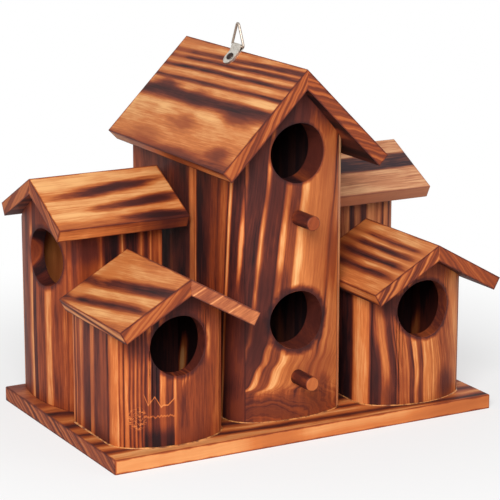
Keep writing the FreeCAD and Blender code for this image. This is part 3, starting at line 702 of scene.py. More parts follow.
class BIRDHOUSE_OT_tower(PieceOperator, bpy.types.Operator):
    """Give the front, the four side boards, the back and the shelf of the tall house their torched pine"""
    bl_idname = "birdhouse.tower"
    bl_label = "Tower house"

    def execute(self, context):
        # bands at mid height; the drift carries them to the right above and sweeps them to the left at the foot
        front = [
            (-36, 0.72), (-34.4, 0.75), (-31, 0.78), (-28.6, 0.85), (-27.4, 0.3), (-26.2, 0.06), (-24.8, 0.5),
            (-23.4, 0.75), (-20, 0.72), (-16, 0.66), (-14.6, 0.85), (-13.4, 0.3), (-12.2, 0.02), (-10, 0.1),
            (-8.6, 0.55), (-5, 0.58), (-2.4, 0.6), (-1.2, 0.2), (1, 0.05), (3.5, 0.12), (7, 0.3), (12, 0.24),
            (17, 0.36), (22, 0.3), (25.5, 0.45), (27, 0.78), (28.6, 0.4), (31, 0.25), (34, 0.45), (36, 0.3)]
        sweep = [
            (-133, -30), (-113, -29), (-110.5, -24), (-107, -20), (-103, -18.5), (-97, -16.5), (-90, -12),
            (-83, -10.5), (-77, -8), (-68, -6.7), (-47, -4.2), (-27, -2.1), (-5, 0), (29, 4.6), (52, 6.5), (79, 11),
            (93, 12)]
        low = TOWER_LOW_HOLE - TOWER_START
        high = TOWER_HIGH_HOLE - TOWER_START
        # the last patch is painted shadow: the shade that the lower perch casts on the front, below it and to its
        # right
        patches = [
            (-34.4, 50, 1.6, 30, 0.06, 0.95, 0.02), (-6, 80, 28, 24, 0.9, 0.82), (22, 79, 14, 20, 0.85, 0.75),
            (-31, 36, 7, 24, 0.93, 0.5), (-14, 22, 18, 24, 0.94, 0.45), (24, 40, 9, 20, 0.45, 0.5),
            (-20, -38, 13, 15, 0.93, 0.55), (-29, -72, 11, 32, 0.84, 0.7), (20, -4, 18, 66, 0.38, 0.4),
            (15, -98, 22, 14, 0.5, 0.6), (-26, -123, 45, 13, 0.68, 0.92), (12, -128, 40, 13, 0.62, 0.85, -0.05),
            (29, -20, 5, 26, 0.66, 0.55), (21, -113, 8, 9, 0.84, 0.5)]
        finish_board(
            "tower_front", (0, TOWER_NOSE, TOWER_START), RIGHT, UP, front, slant=0.15, drift=sweep, wander=1.0,
            wander_length=60.0, streak=0.26, cloud=0.12, patches=patches,
            holes=[(0, low, 6.0, 0.85), (0, high, 2.5, 0.5)], bore_tone=0.84, seed=1.7, finish=self.foot_rings,
            bowed=True, inner=("low", 1.0), hollow=(0, bow_radius(*TOWER_BOW), TOWER_WALL))
        fore_left = [
            (0, 0.3), (2, 0.22), (3.2, 0.6), (4, 0.85), (8, 0.92), (15, 0.86), (21, 0.78), (25, 0.6), (30, 0.55),
            (34, 0.68), (37, 0.5), (41, 0.42), (44, 0.45), (45.6, 0.65), (46.4, 0.85), (47.4, 0.3), (48.6, 0.08),
            (50, 0.3), (51.4, 0.8), (54, 0.84), (58, 0.78)]
        # the first bright line of the front crosses the seam, and the red foot runs on over it
        crossing = [(55.4, -8, 1.5, 32, 0.05, 0.95, 0.057), (54, -123, 10, 14, 0.64, 0.9), (50, -86, 9, 26, 0.66, 0.5)]
        aft_left = [
            (0, 0.32), (3, 0.22), (6, 0.3), (8, 0.7), (13, 0.8), (22, 0.88), (30, 0.72), (35, 0.62), (41, 0.76),
            (50, 0.66), (56, 0.55), (62, 0.4), (66, 0.5), (76, 0.6), (86, 0.5), (94, 0.45)]
        fore_right = [
            (0, 0.3), (4, 0.55), (8, 0.85), (12, 0.4), (19, 0.25), (23, 0.7), (26, 0.8), (30, 0.35), (38, 0.3),
            (43, 0.55), (48, 0.2), (52, 0.1), (58, 0.14)]
        for side, label, fore, aft, paleness, redness in (
                (-1, "left", fore_left, aft_left, 0.0, 0.35),
                (1, "right", fore_right, 8, 0.35, 0.1)):
            seam = (side * TOWER_HALF, TOWER_SEAM, TOWER_START)
            finish_board(
                "tower_side_fore_" + label, seam, FORWARD, UP, fore, slant=side * 1.0, fan=0.002, wander=1.2,
                streak=0.25, cloud=0.18, patches=crossing if side < 0 else (), redness=redness, paleness=paleness,
                seed=6.0 + side, bowed=True, inner=("low" if side < 0 else "high", 1.0))
            finish_board(
                "tower_side_aft_" + label, seam, BACKWARD, UP, aft, slant=side * 1.0, wander=2.0, streak=0.25,
                cloud=0.2, redness=redness, paleness=paleness, seed=9.0 + side, bowed=True,
                inner=("high" if side < 0 else "low", 1.0))
        finish_board(
            "tower_back", (-TOWER_HALF, SIDE_REAR, 0), RIGHT, UP, 21, wander=3.0, seed=4.4, inner=("high", 1.0))
        # the shelf inside the tower is dark all over, painted shade inside the house
        finish_board("tower_shelf", (-TOWER_HALF, 0, 0), RIGHT, BACKWARD, [(0, 0.8), (40, 0.95), (87, 0.85)], seed=5.2)
        return {"FINISHED"}

    @staticmethod
    def foot_rings(across, along, tone):
        """Adds the crowded rings round a knot at the foot of the front."""
        reach = combine((across + 24.0) / 1.7, along + 138.0).length()
        bend = noise(combine(across / 14.0, along / 9.0, 3.0), detail=3.0) * 12.0
        rings = noise(combine((reach + bend) / 2.1, 1.0)).remap(0.3, 0.7, -0.5, 0.5)
        mask = (bend * 0.8 + along).remap(-103.0, -111.0)
        return rings * (mask * 0.17) + tone


class BIRDHOUSE_OT_tower_roof(PieceOperator, bpy.types.Operator):
    """Give the two boards of the steep roof their torched pine"""
    bl_idname = "birdhouse.tower_roof"
    bl_label = "Tower roof"

    def execute(self, context):
        ridge = (0, 0, TOWER_RIDGE)
        left = [
            (0, 0.35), (3, 0.14), (5.4, 0.2), (6.8, 0.66), (9, 0.72), (10.6, 0.2), (12, 0.6), (13.6, 0.84),
            (15.4, 0.3), (17.5, 0.08), (19.4, 0.6), (21, 0.88), (22.8, 0.35), (25, 0.08), (28.6, 0.3), (30.2, 0.86),
            (31.8, 0.6), (33.4, 0.12), (37.5, 0.05), (39.5, 0.45), (41.5, 0.8), (46, 0.82), (48.5, 0.5), (51, 0.2),
            (54, 0.06), (62, 0.14), (70, 0.18), (80, 0.22), (85, 0.45), (88.4, 0.6)]
        patches = [
            (64.5, -6, 8, 24, 0.62, 0.6), (81, -38, 9, 24, 0.5, 0.5), (77, 61, 7, 15, 0.8, 0.65),
            (86.5, 15, 3.5, 38, 0.74, 0.6), (9, -78, 22, 16, 0.24, 0.5), (58, 66, 6, 14, 0.12, 0.5),
            (41, -62, 6, 24, 0.97, 0.7), (43, -12, 8, 18, 0.86, 0.5), (49, 50, 7, 26, 0.93, 0.6)]
        finish_board(
            "tower_roof_left", ridge, slope(TOWER_PITCH, -1), FORWARD, left, slant=2.2, lean=-0.039, wander=1.1,
            wander_length=55.0, streak=0.24, cloud=0.14, patches=patches, seed=2.3, end=(0.32, 2.2, 0.5, 0.3),
            inner=("low", 0.75))
        right = [
            (0, 0.35), (5, 0.2), (8, 0.6), (12, 0.85), (17, 0.4), (24, 0.15), (33, 0.25), (38, 0.75), (41, 0.9),
            (44, 0.5), (50, 0.2), (61, 0.12), (66, 0.5), (69, 0.75), (73, 0.3), (80, 0.2), (88.4, 0.35)]
        stains = [(30, 20, 8, 32, 0.85, 0.6), (58, -50, 10, 30, 0.16, 0.6), (72, 50, 8, 24, 0.85, 0.55)]
        finish_board(
            "tower_roof_right", ridge, slope(TOWER_PITCH, 1), BACKWARD, right, slant=1.1, wander=2.5, streak=0.3,
            cloud=0.2, patches=stains, seed=7.9, end=(-0.5, 2.6, 0.52, 0.3), inner=("low", 0.98))
        return {"FINISHED"}


class BIRDHOUSE_OT_perches(PieceOperator, bpy.types.Operator):
    """Give the two dowels their scorched, turned wood"""
    bl_idname = "birdhouse.perches"
    bl_label = "Perches"

    tip_light: FloatProperty(
        name="Tip", description="Tone of the sawn end of the lower dowel", subtype="FACTOR", min=0, max=1, default=0.3)

    def execute(self, context):
        for node, height, tone, tip in (
                ("perch_lower", LOW_PERCH, 0.62, self.tip_light), ("perch_upper", HIGH_PERCH, 0.58, 0.5)):
            front_end = -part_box(node)[0].y / MM
            bands = [
                (-5, tone), (-3, tone + 0.2), (-1, tone - 0.12), (1.5, tone + 0.15), (3, tone - 0.1), (5, tone + 0.1)]

            def light_end(_, along, value, front_end=front_end, tip=tip):
                return (along.remap(front_end - 0.7, front_end - 0.2) * 0.85).mix(value, tip)

            # the patch is painted shade on each dowel, darkest near the wall it stands out of
            finish_board(
                node, (0, 0, height), RIGHT, FORWARD, bands, slant=0.4, wander=0.6, wander_length=16.0, streak=0.4,
                cloud=0.3, patches=[(0, 79, 9, 9, 0.85, 0.5)], redness=0.1, seed=height, finish=light_end, end=None,
                burn_strength=0.0)
        return {"FINISHED"}


class BIRDHOUSE_OT_front_houses(PieceOperator, bpy.types.Operator):
    """Give the boards of the two low houses in front their torched pine"""
    bl_idname = "birdhouse.front_houses"
    bl_label = "Front houses"

    def execute(self, context):
        left_face = [
            (-35, 0.3), (-34, 0.75), (-32.6, 0.35), (-31.6, 0.8), (-30, 0.3), (-29, 0.75), (-27.5, 0.35), (-26.5, 0.8),
            (-25, 0.4), (-24, 0.8), (-22.8, 0.6), (-21.8, 0.3), (-20.6, 0.25), (-19.8, 0.8), (-15.2, 0.9),
            (-14.6, 0.7), (-13.8, 0.2), (-10.6, 0.3), (-9.9, 0.66), (-5.2, 0.76), (-4.5, 0.2), (-3.2, 0.28),
            (-2.4, 0.58), (2, 0.6), (10, 0.54), (18, 0.58), (24, 0.5), (28, 0.44), (31, 0.36), (35, 0.42)]
        hollow = (0, bow_radius(*FRONT_BOW), FRONT_WALL)
        marks = [
            (0, 70, 22, 12, 0.93, 0.8), (22.5, 43, 2.4, 15, 0.1, 0.9), (14, -22, 9, 9, 0.85, 0.5),
            (-17.5, 26, 2.6, 9, 0.95, 0.6), (2, 20, 0.7, 5, 0.2, 0.8, 0.12), (4.2, 22, 0.7, 6, 0.2, 0.9, 0.12),
            (7, 23, 0.6, 5, 0.25, 0.8, 0.12), (10, -18, 34, 7, 0.55, 0.5), (-28, 46, 8, 14, 0.9, 0.5)]
        finish_board(
            "front_left_face", (-FRONT_MIDDLE, FRONT_NOSE, FRONT_LEFT_START), RIGHT, UP, left_face, slant=0.2,
            wander=0.9, wander_length=45.0, streak=0.3, cloud=0.14, patches=marks, relief=1.6,
            holes=[(0, FRONT_HOLE - FRONT_LEFT_START, 3.5, 0.6)], redness=0.35, seed=12.5, finish=self.ragged_foot,
            bowed=True, inner=("low", 1.0), hollow=hollow)
        right_face = [
            (-35, 0.88), (-33, 0.6), (-31, 0.3), (-27.5, 0.32), (-25.6, 0.64), (-22.5, 0.74), (-21.4, 0.5),
            (-20.7, 0.7), (-19.9, 0.46), (-16.5, 0.4), (-13, 0.38), (-12, 0.66), (-9.2, 0.74), (-8.4, 0.2), (-6, 0.14),
            (-5, 0.54), (-1.9, 0.62), (-1, 0.24), (4, 0.22), (6.1, 0.32), (6.9, 0.1), (8, 0.28), (12, 0.32), (15, 0.5),
            (20, 0.46), (25, 0.38), (29, 0.26), (33, 0.2), (35, 0.36)]
        wave = [(-40, 1.5), (-16, 1.5), (0, 0.0), (14, -2.0), (29, -3.5), (54, -5.0), (75, -6.0)]
        marks = [
            (20, -26, 9, 13, 0.86, 0.6), (-26, 36, 9, 10, 0.9, 0.7), (0, 58, 24, 10, 0.8, 0.6),
            (-33, -16, 4, 26, 0.85, 0.7), (-26, -30, 4, 15, 0.9, 0.5), (-3, -30, 3, 14, 0.82, 0.55)]
        finish_board(
            "front_right_face", (FRONT_MIDDLE, FRONT_NOSE, FRONT_RIGHT_START), RIGHT, UP, right_face, slant=0.2,
            drift=wave, wander=1.0, wander_length=42.0, streak=0.32, cloud=0.12, patches=marks,
            holes=[(0, FRONT_HOLE - FRONT_RIGHT_START, 3.5, 0.75)], seed=14.2, bowed=True, inner=("low", 1.0),
            hollow=hollow)
        left_outer = [
            (-33, 0.3), (-31, 0.15), (-29.5, 0.7), (-27.6, 0.6), (-26.7, 0.1), (-25.5, 0.6), (-22, 0.5), (-20, 0.22),
            (-17, 0.35), (-14, 0.75), (-6, 0.85), (-4.5, 0.3), (-1, 0.28), (2, 0.75), (9, 0.68), (12, 0.5), (16, 0.6),
            (19, 0.5), (21, 0.84), (23, 0.35), (26, 0.1), (31, 0.18), (33, 0.1), (34.5, 0.55), (36, 0.3), (39, 0.5)]
        right_inner = [
            (-33, 0.6), (-10, 0.7), (2, 0.92), (12, 0.95), (16, 0.86), (18.5, 0.35), (24, 0.14), (30, 0.2), (35, 0.3),
            (37.5, 0.7), (39, 0.86)]
        left_inner = [
            (-33, 0.5), (-20, 0.8), (-5, 0.6), (8, 0.8), (16, 0.6), (22, 0.5), (28, 0.42), (34, 0.5), (39, 0.42)]
        outer = FRONT_MIDDLE + FRONT_HALF
        inner = FRONT_MIDDLE - FRONT_HALF
        # the patches of the left house's inner wall and the right house's outer wall lie where an entrance shows the
        # inner face; they are painted light, a pale pool of light low down inside
        for node, x, bands, seed, redness, patches in (
                ("front_left_wall_outer", -outer, left_outer, 15.1, 0.45,
                 [(12, -42, 14, 12, 0.88, 0.55), (-12, -44, 9, 8, 0.8, 0.5), (0, -6, 34, 30, 0.62, 0.25)]),
                ("front_left_wall_inner", -inner, left_inner, 15.9, 0.3, [(-21, -5, 7, 20, 0.05, 1.0, 0.2)]),
                ("front_right_wall_inner", inner, right_inner, 16.4, 0.1, []),
                ("front_right_wall_outer", outer, 31, 17.3, 0.1, [(-20, -9, 6, 15, 0.3, 0.9, 0.2)])):
            left_hand = node in ("front_left_wall_outer", "front_right_wall_inner")
            finish_board(
                node, (x, FRONT_WALL_MIDDLE, FRONT_WALL_START), FORWARD, UP, bands, slant=-1.0 if left_hand else 1.0,
                wander=1.2, wander_length=55.0, streak=0.25, cloud=0.16, redness=redness, seed=seed, bowed=True,
                inner=("low" if left_hand else "high", 1.0), patches=patches)
        for node, seed in (("front_left_back", 41), ("front_right_back", 42)):
            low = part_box(node)[0] / MM
            finish_board(
                node, (low.x, FRONT_REAR, 0), RIGHT, UP, seed, wander=2.5, seed=seed * 0.3, inner=("high", 1.0))
        return {"FINISHED"}

    @staticmethod
    def ragged_foot(across, along, tone):
        """Ends the bands in a pale, ragged edge over the red brown foot, with a broken layer and worm tracks by it."""
        teeth = [(-24.2, 12.5), (-21.6, 5.2), (-17.4, 10.6), (-13.4, 3.4), (-12, 4.6), (-8.8, 4.4), (-4.4, 8.6)]
        gap = along - across.curve(teeth, sharp=True)
        width = across.remap(-24.6, -23.6) * across.remap(-3.8, -4.8)
        foot = (tone - 0.5) * 0.35 + along.remap(-7.0, -18.0, 0.56, 0.92)
        tone = (gap.remap(0.0, -1.2) * width * 0.85).mix(tone, foot)
        jitter = noise(combine(across * 0.5, 2.0), detail=3.0)
        lower = abs(jitter * 6.0 - 0.2 + along).remap(0.8, 0.3, 0.0, 0.7)
        line = abs(gap).remap(0.75, 0.3).most(lower) * width
        tracks = noise(combine(across * 0.34, along * 0.4, 7.0), roughness=0.6)
        near = combine((across + 28.0) / 6.5, (along + 4.0) / 9.0).length()
        tracks = abs(tracks - 0.5).remap(0.03, 0.012) * (near * near).remap(1.0, 0.5)
        return (line.most(tracks) * 0.85).mix(tone, 0.14)


class BIRDHOUSE_OT_front_roofs(PieceOperator, bpy.types.Operator):
    """Give the four boards of the two low roofs in front their torched pine"""
    bl_idname = "birdhouse.front_roofs"
    bl_label = "Front roofs"

    def execute(self, context):
        left_outer = [
            (0, 0.25), (4, 0.14), (12, 0.12), (17, 0.2), (20, 0.7), (24, 0.9), (27.5, 0.6), (31, 0.12), (36, 0.1),
            (39.5, 0.5), (42.5, 0.86), (45.5, 0.55), (48, 0.14), (53, 0.1), (56, 0.2), (58.5, 0.35)]
        patches = [(22, -45, 12, 13, 0.22, 0.85), (44, -51, 9, 10, 0.2, 0.8), (33, 35, 6, 14, 0.14, 0.5)]
        left_inner = [
            (0, 0.45), (11.6, 0.48), (12.6, 0.1), (13.6, 0.44), (26, 0.46), (27, 0.1), (28, 0.38), (41, 0.42),
            (42, 0.1), (43, 0.34), (58, 0.3)]
        right_inner = [
            (0, 0.25), (4, 0.12), (8, 0.14), (10, 0.5), (12, 0.7), (14, 0.3), (16, 0.1), (18, 0.6), (20.5, 0.84),
            (22.5, 0.25), (25, 0.08), (27.5, 0.55), (30, 0.93), (32.5, 0.4), (35, 0.1), (37.5, 0.4), (40.5, 0.9),
            (43, 0.6), (46, 0.2), (50, 0.18), (58, 0.28)]
        fade = [(20, 12, 40, 14, 0.3, 0.7), (24, 104, 40, 18, 0.2, 0.8), (32, 30, 14, 26, 0.9, 0.35)]
        left_ridge = (-FRONT_MIDDLE, 0, FRONT_RIDGE)
        right_ridge = (FRONT_MIDDLE, 0, FRONT_RIDGE)
        # the leaning bands of the left outer board are measured from the middle of its ridge
        leaning_ridge = (-FRONT_MIDDLE, -65, FRONT_RIDGE)
        finish_board(
            "front_left_roof_outer", leaning_ridge, slope(FRONT_PITCH, -1), FORWARD, left_outer, slant=2.4, lean=-0.19,
            wander=1.6, wander_length=50.0, streak=0.26, cloud=0.14, patches=patches, seed=18.8,
            end=(0.3, 2.6, 0.48, 0.3), inner=("low", 0.8))
        finish_board(
            "front_left_roof_inner", left_ridge, slope(FRONT_PITCH, 1), BACKWARD, left_inner, slant=-0.7, wander=0.7,
            streak=0.25, cloud=0.14, redness=0.15, paleness=0.25, seed=19.4, end=None, inner=("low", 0.8))
        finish_board(
            "front_right_roof_inner", right_ridge, slope(FRONT_PITCH, -1), FORWARD, right_inner, slant=2.0, wander=1.2,
            wander_length=45.0, streak=0.28, cloud=0.14, patches=fade, seed=20.6, end=(0.55, 2.6, 0.46, 0.45),
            inner=("low", 0.8))
        finish_board(
            "front_right_roof_outer", right_ridge, slope(FRONT_PITCH, 1), BACKWARD, 33, slant=1.6, wander=2.4,
            wander_length=40.0, streak=0.34, cloud=0.2, redness=0.05, seed=21.9, end=(0.4, 2.6, 0.5, 0.28),
            inner=("low", 0.8))
        return {"FINISHED"}


class BIRDHOUSE_OT_side_houses(PieceOperator, bpy.types.Operator):
    """Give the boards of the two long houses at the sides their torched pine"""
    bl_idname = "birdhouse.side_houses"
    bl_label = "Side houses"

    def execute(self, context):
        left_face = [
            (-33, 0.6), (-24, 0.55), (-18, 0.66), (-13, 0.5), (-10.5, 0.2), (-8, 0.1), (-6.5, 0.72), (-3, 0.84),
            (-1, 0.5), (4, 0.55), (9, 0.62), (11, 0.3), (13, 0.06), (17, 0.14), (19, 0.5), (24, 0.6), (29, 0.5),
            (33, 0.42)]
        marks = [(14, 25, 9, 26, 0.62, 0.8), (-6, 30, 22, 14, 0.7, 0.6), (-28, -70, 9, 26, 0.85, 0.6)]
        finish_board(
            "side_left_face", (-SIDE_NOSE, SIDE_MIDDLE, SIDE_HOLE), FORWARD, UP, left_face, slant=-0.3, wander=1.4,
            streak=0.34, cloud=0.16, patches=marks, holes=[(SIDE_MIDDLE - SIDE_ROOF_MIDDLE, 0, 4.0, 0.6)],
            redness=0.45, seed=23.1, bore_tone=0.8, bowed=True, inner=("low", 0.6),
            hollow=(SIDE_MIDDLE - SIDE_BOW_MIDDLE, SIDE_BOW_RADIUS, SIDE_WALL))
        right_start = SIDE_MIDDLE - SIDE_HALF
        finish_board(
            "side_right_face", (SIDE_NOSE, right_start, SIDE_HOLE), BACKWARD, UP, 51, slant=0.3,
            holes=[(SIDE_ROOF_MIDDLE - right_start, 0, 4.0, 0.6)], seed=24.4, bowed=True, inner=("low", 0.8),
            hollow=(SIDE_BOW_MIDDLE - right_start, SIDE_BOW_RADIUS, SIDE_WALL))
        left_wall = [
            (-39, 0.38), (-34, 0.42), (-32, 0.66), (-29.5, 0.5), (-27, 0.45), (-22, 0.6), (-20, 0.45), (-15, 0.5),
            (-13, 0.3), (-11.9, 0.1), (-10.5, 0.6), (-8, 0.95), (0, 0.95), (2.5, 0.5), (4, 0.12), (5.5, 0.6),
            (8, 0.94), (14, 0.9), (16.5, 0.5), (18.5, 0.2), (20, 0.6), (22, 0.86), (24, 0.5), (25.2, 0.12),
            (26.2, 0.6), (28, 0.4), (30, 0.55), (32, 0.3), (34, 0.5)]
        right_wall = [
            (-34, 0.55), (-20, 0.65), (-8, 0.5), (-5, 0.3), (-3.5, 0.85), (-1, 0.8), (1, 0.35), (4, 0.5), (6, 0.85),
            (9, 0.75), (11, 0.22), (15, 0.2), (18, 0.45), (21, 0.3), (24, 0.78), (25, 0.2), (27.5, 0.3), (29, 0.75),
            (30.5, 0.3), (33, 0.35), (34.8, 0.7)]
        marks = [(-20, 3, 16, 12, 0.9, 0.6), (-20, -40, 20, 30, 0.45, 0.5)]
        for side, label, bands, patches, paleness, redness in (
                (-1, "left", left_wall, marks, 0.0, 0.55), (1, "right", right_wall, [], 0.25, 0.1)):
            middle = (side * FRONT_MIDDLE, SIDE_FRONT, SIDE_WALL_START)
            finish_board(
                f"side_{label}_wall_front", middle, RIGHT, UP, bands, slant=0.3, wander=1.2, streak=0.25, cloud=0.16,
                patches=patches, paleness=paleness, redness=redness, seed=26.0 + side, bowed=True)
            for part, seed in (("wall_rear", 61 + side), ("end", 67 + side)):
                node = f"side_{label}_{part}"
                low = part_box(node)[0] / MM
                axis = RIGHT if part == "wall_rear" else BACKWARD
                # through the left entrance the untouched inner face of the rear wall shows
                inner = ("high", 0.12) if part == "wall_rear" else None
                finish_board(node, tuple(low), axis, UP, seed, wander=2.5, seed=seed * 0.4, inner=inner)
        return {"FINISHED"}


class BIRDHOUSE_OT_side_roofs(PieceOperator, bpy.types.Operator):
    """Give the four boards of the two long roofs their torched pine"""
    bl_idname = "birdhouse.side_roofs"
    bl_label = "Side roofs"

    def execute(self, context):
        ridge = (0, SIDE_ROOF_MIDDLE, SIDE_RIDGE)
        left_front = [
            (0, 0.15), (5, 0.05), (13, 0.1), (17, 0.18), (24, 0.16), (28, 0.02), (33, 0.12), (37, 0.24), (41, 0.08),
            (46, 0.2), (50, 0.3), (55.5, 0.42)]
        marks = [
            (18, -92, 6, 40, 0.95, 0.9, -0.12), (35, -76, 5, 40, 0.92, 0.85, -0.1), (33, -64, 7, 14, 0.93, 0.5),
            (51, -66, 5.5, 30, 0.97, 0.92, 0.06)]
        finish_board(
            "side_left_roof_front", ridge, slope_back(SIDE_PITCH, -1), RIGHT, left_front, slant=1.0, wander=1.8,
            streak=0.26, cloud=0.16, patches=marks, seed=28.3, end=(0.3, 2.4, 0.48, 0.3), inner=("low", 0.8))
        right_front = [
            (0, 0.15), (5, 0.05), (9, 0.28), (12, 0.05), (14.5, 0.3), (17, 0.88), (23, 0.96), (29, 0.9), (31, 0.5),
            (33, 0.1), (38, 0.14), (44, 0.2), (49, 0.05), (55.5, 0.12)]
        stains = [(38, 84, 5, 24, 0.42, 0.5), (46, 112, 5, 18, 0.36, 0.5), (55.5, 95, 0.9, 300, 0.45, 0.85)]
        finish_board(
            "side_right_roof_front", ridge, slope_back(SIDE_PITCH, -1), RIGHT, right_front, slant=2.2, wander=1.8,
            streak=0.6, cloud=0.24, patches=stains, paleness=0.62, seed=29.7, inner=("low", 0.8), burn_strength=0.25)
        for label, seed in (("left", 71), ("right", 72)):
            finish_board(
                f"side_{label}_roof_rear", ridge, slope_back(SIDE_PITCH, 1), LEFT, seed, slant=1.4, wander=2.0,
                seed=seed * 0.43, end=(0.3, 2.4, 0.48, 0.3), inner=("low", 0.8))
        return {"FINISHED"}


class BIRDHOUSE_OT_hanger(PieceOperator, bpy.types.Operator):
    """Give the folded strap and the wire ring their plating, and the screw its blackened steel"""
    bl_idname = "birdhouse.hanger"
    bl_label = "Hanger"

    def execute(self, context):
        hanger = context.scene.birdhouse_hanger
        for name, node, clean, dull, roughness in (
                ("Zinc plate", "hanger_strap", hanger.zinc, hanger.tarnish, hanger.roughness),
                ("Zinc wire", "hanger_ring", hanger.wire, hanger.tarnish, hanger.roughness),
                ("Blackened steel", "hanger_screw", hanger.screw, paint(30, 25, 24), hanger.roughness + 0.1)):
            material, tree, shader = new_material(name)
            spots, brushed = tarnish(tree, Spot_size=2.4, Brushing=5.0)
            feed(tree, shader.inputs["Base Color"], (spots * 0.45).blend(opaque(clean), opaque(dull)))
            feed(tree, shader.inputs["Roughness"], (brushed - 0.5) * 0.15 + (spots * 0.1 + roughness))
            shader.inputs["Metallic"].default_value = 0.9
            add_bump(tree, shader, brushed, 0.4, 0.03 * MM)
            finish_node(node, material)
        return {"FINISHED"}


def show(name, content):
    """Hangs a mesh, lamp or camera into the scene under a name."""
    thing = bpy.data.objects.new(name, content)
    bpy.context.scene.collection.objects.link(thing)
    return thing


def finish_mesh(name, form, material):
    """Closes the form of a mesh and shows it in its material."""
    mesh = bpy.data.meshes.new(name)
    form.to_mesh(mesh)
    form.free()
    mesh.materials.append(material)
    return show(name, mesh)


def bow_outline(shape, nose, rear, steps=12):
    """Outline of a bow-fronted house from its left rear corner round the front to its right rear corner."""
    half, _, corner = shape
    radius = bow_radius(*shape)
    centre_y = nose + radius
    turn = math.asin((half - corner) / (radius - corner))
    corner_y = centre_y - (radius - corner) * math.cos(turn)
    points = [(-half, rear), (-half, (rear + corner_y) / 2)]
    for step in range(steps + 1):
        angle = math.pi / 2 - (math.pi / 2 - turn) * step / steps
        points.append((-(half - corner) - corner * math.sin(angle), corner_y - corner * math.cos(angle)))
    for step in range(1, 2 * steps):
        angle = -turn + 2 * turn * step / (2 * steps)
        points.append((radius * math.sin(angle), centre_y - radius * math.cos(angle)))
    mirrored = [(-x, y) for x, y in points[:steps + 3]]
    return points + mirrored[::-1]


class BIRDHOUSE_OT_glue_lines(PieceOperator, bpy.types.Operator):
    """Lay the thin beads of dried glue along the foot of the three bow-fronted houses"""
    bl_idname = "birdhouse.glue_lines"
    bl_label = "Glue lines"

    def execute(self, context):
        glue = context.scene.birdhouse_glue
        material = self.glue_material(glue)
        tower = bow_outline(TOWER_BOW, TOWER_NOSE, -20.0)
        front = bow_outline(FRONT_BOW, FRONT_NOSE, FRONT_REAR - 1.0)
        for name, middle, outline in (
                ("glue_line_tower", 0.0, tower), ("glue_line_front_left", -FRONT_MIDDLE, front),
                ("glue_line_front_right", FRONT_MIDDLE, front)):
            path = [(x + middle, y) for x, y in outline]
            self.lay_bead(name, path, glue, material)
        return {"FINISHED"}

    def lay_bead(self, name, path, glue, material):
        """Sweeps an uneven half-round bead along the path on top of the plate."""
        chance = random.Random(glue.seed + len(name) * 7)
        dense = self.divide(path, BEAD_PITCH)
        form = bmesh.new()
        rings = []
        swell = 0.0
        for index, (x, y) in enumerate(dense):
            before = Vector(dense[max(index - 1, 0)])
            after = Vector(dense[min(index + 1, len(dense) - 1)])
            way = (after - before).normalized()
            outward = Vector((way.y, -way.x))
            swell = 0.6 * swell + 0.4 * chance.uniform(-1, 1)
            radius = glue.bead / MM * (1 + glue.unevenness * 1.6 * swell)
            ring = []
            for step in range(BEAD_SIDES + 1):
                angle = math.pi * step / BEAD_SIDES
                reach = radius * math.cos(angle) + 0.1
                height = radius * 0.8 * math.sin(angle) - 0.1
                spot = Vector((x, y)) + outward * reach
                ring.append(form.verts.new((spot.x * MM, spot.y * MM, (PLATE_TOP + height) * MM)))
            rings.append(ring)
        for first, second in zip(rings, rings[1:]):
            for step in range(BEAD_SIDES):
                form.faces.new((first[step], first[step + 1], second[step + 1], second[step]))
            form.faces.new((first[-1], first[0], second[0], second[-1]))
        form.faces.new(rings[0])
        form.faces.new(rings[-1][::-1])
        bmesh.ops.recalc_face_normals(form, faces=form.faces)
        piece = finish_mesh(name, form, material)
        piece.data.polygons.foreach_set("use_smooth", [True] * len(piece.data.polygons))
        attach(piece, "house")

    @staticmethod
    def divide(path, pitch):
        dense = []
        for (x0, y0), (x1, y1) in zip(path, path[1:]):
            count = max(1, round(math.dist((x0, y0), (x1, y1)) / pitch))
            for step in range(count):
                share = step / count
                dense.append((x0 + (x1 - x0) * share, y0 + (y1 - y0) * share))
        return dense + [path[-1]]

    @staticmethod
    def glue_material(glue):
        material, tree, shader = new_material("Dried glue")
        spots, brushed = tarnish(tree, Spot_size=5.0, Brushing=1.0)
        feed(tree, shader.inputs["Base Color"], spots.blend(opaque(glue.colour), opaque(paint(112, 58, 32))))
        feed(tree, shader.inputs["Roughness"], brushed * 0.2 + 0.3)
        return material


def mix_shaders(tree, share, first, second, ending):
    """Ends a material or world with two shaders mixed by a share."""
    mix = tree.nodes.new("ShaderNodeMixShader")
    for index, value in enumerate((share, first, second)):
        feed(tree, mix.inputs[index], value)
    feed(tree, ending.inputs["Surface"], mix.outputs["Shader"])


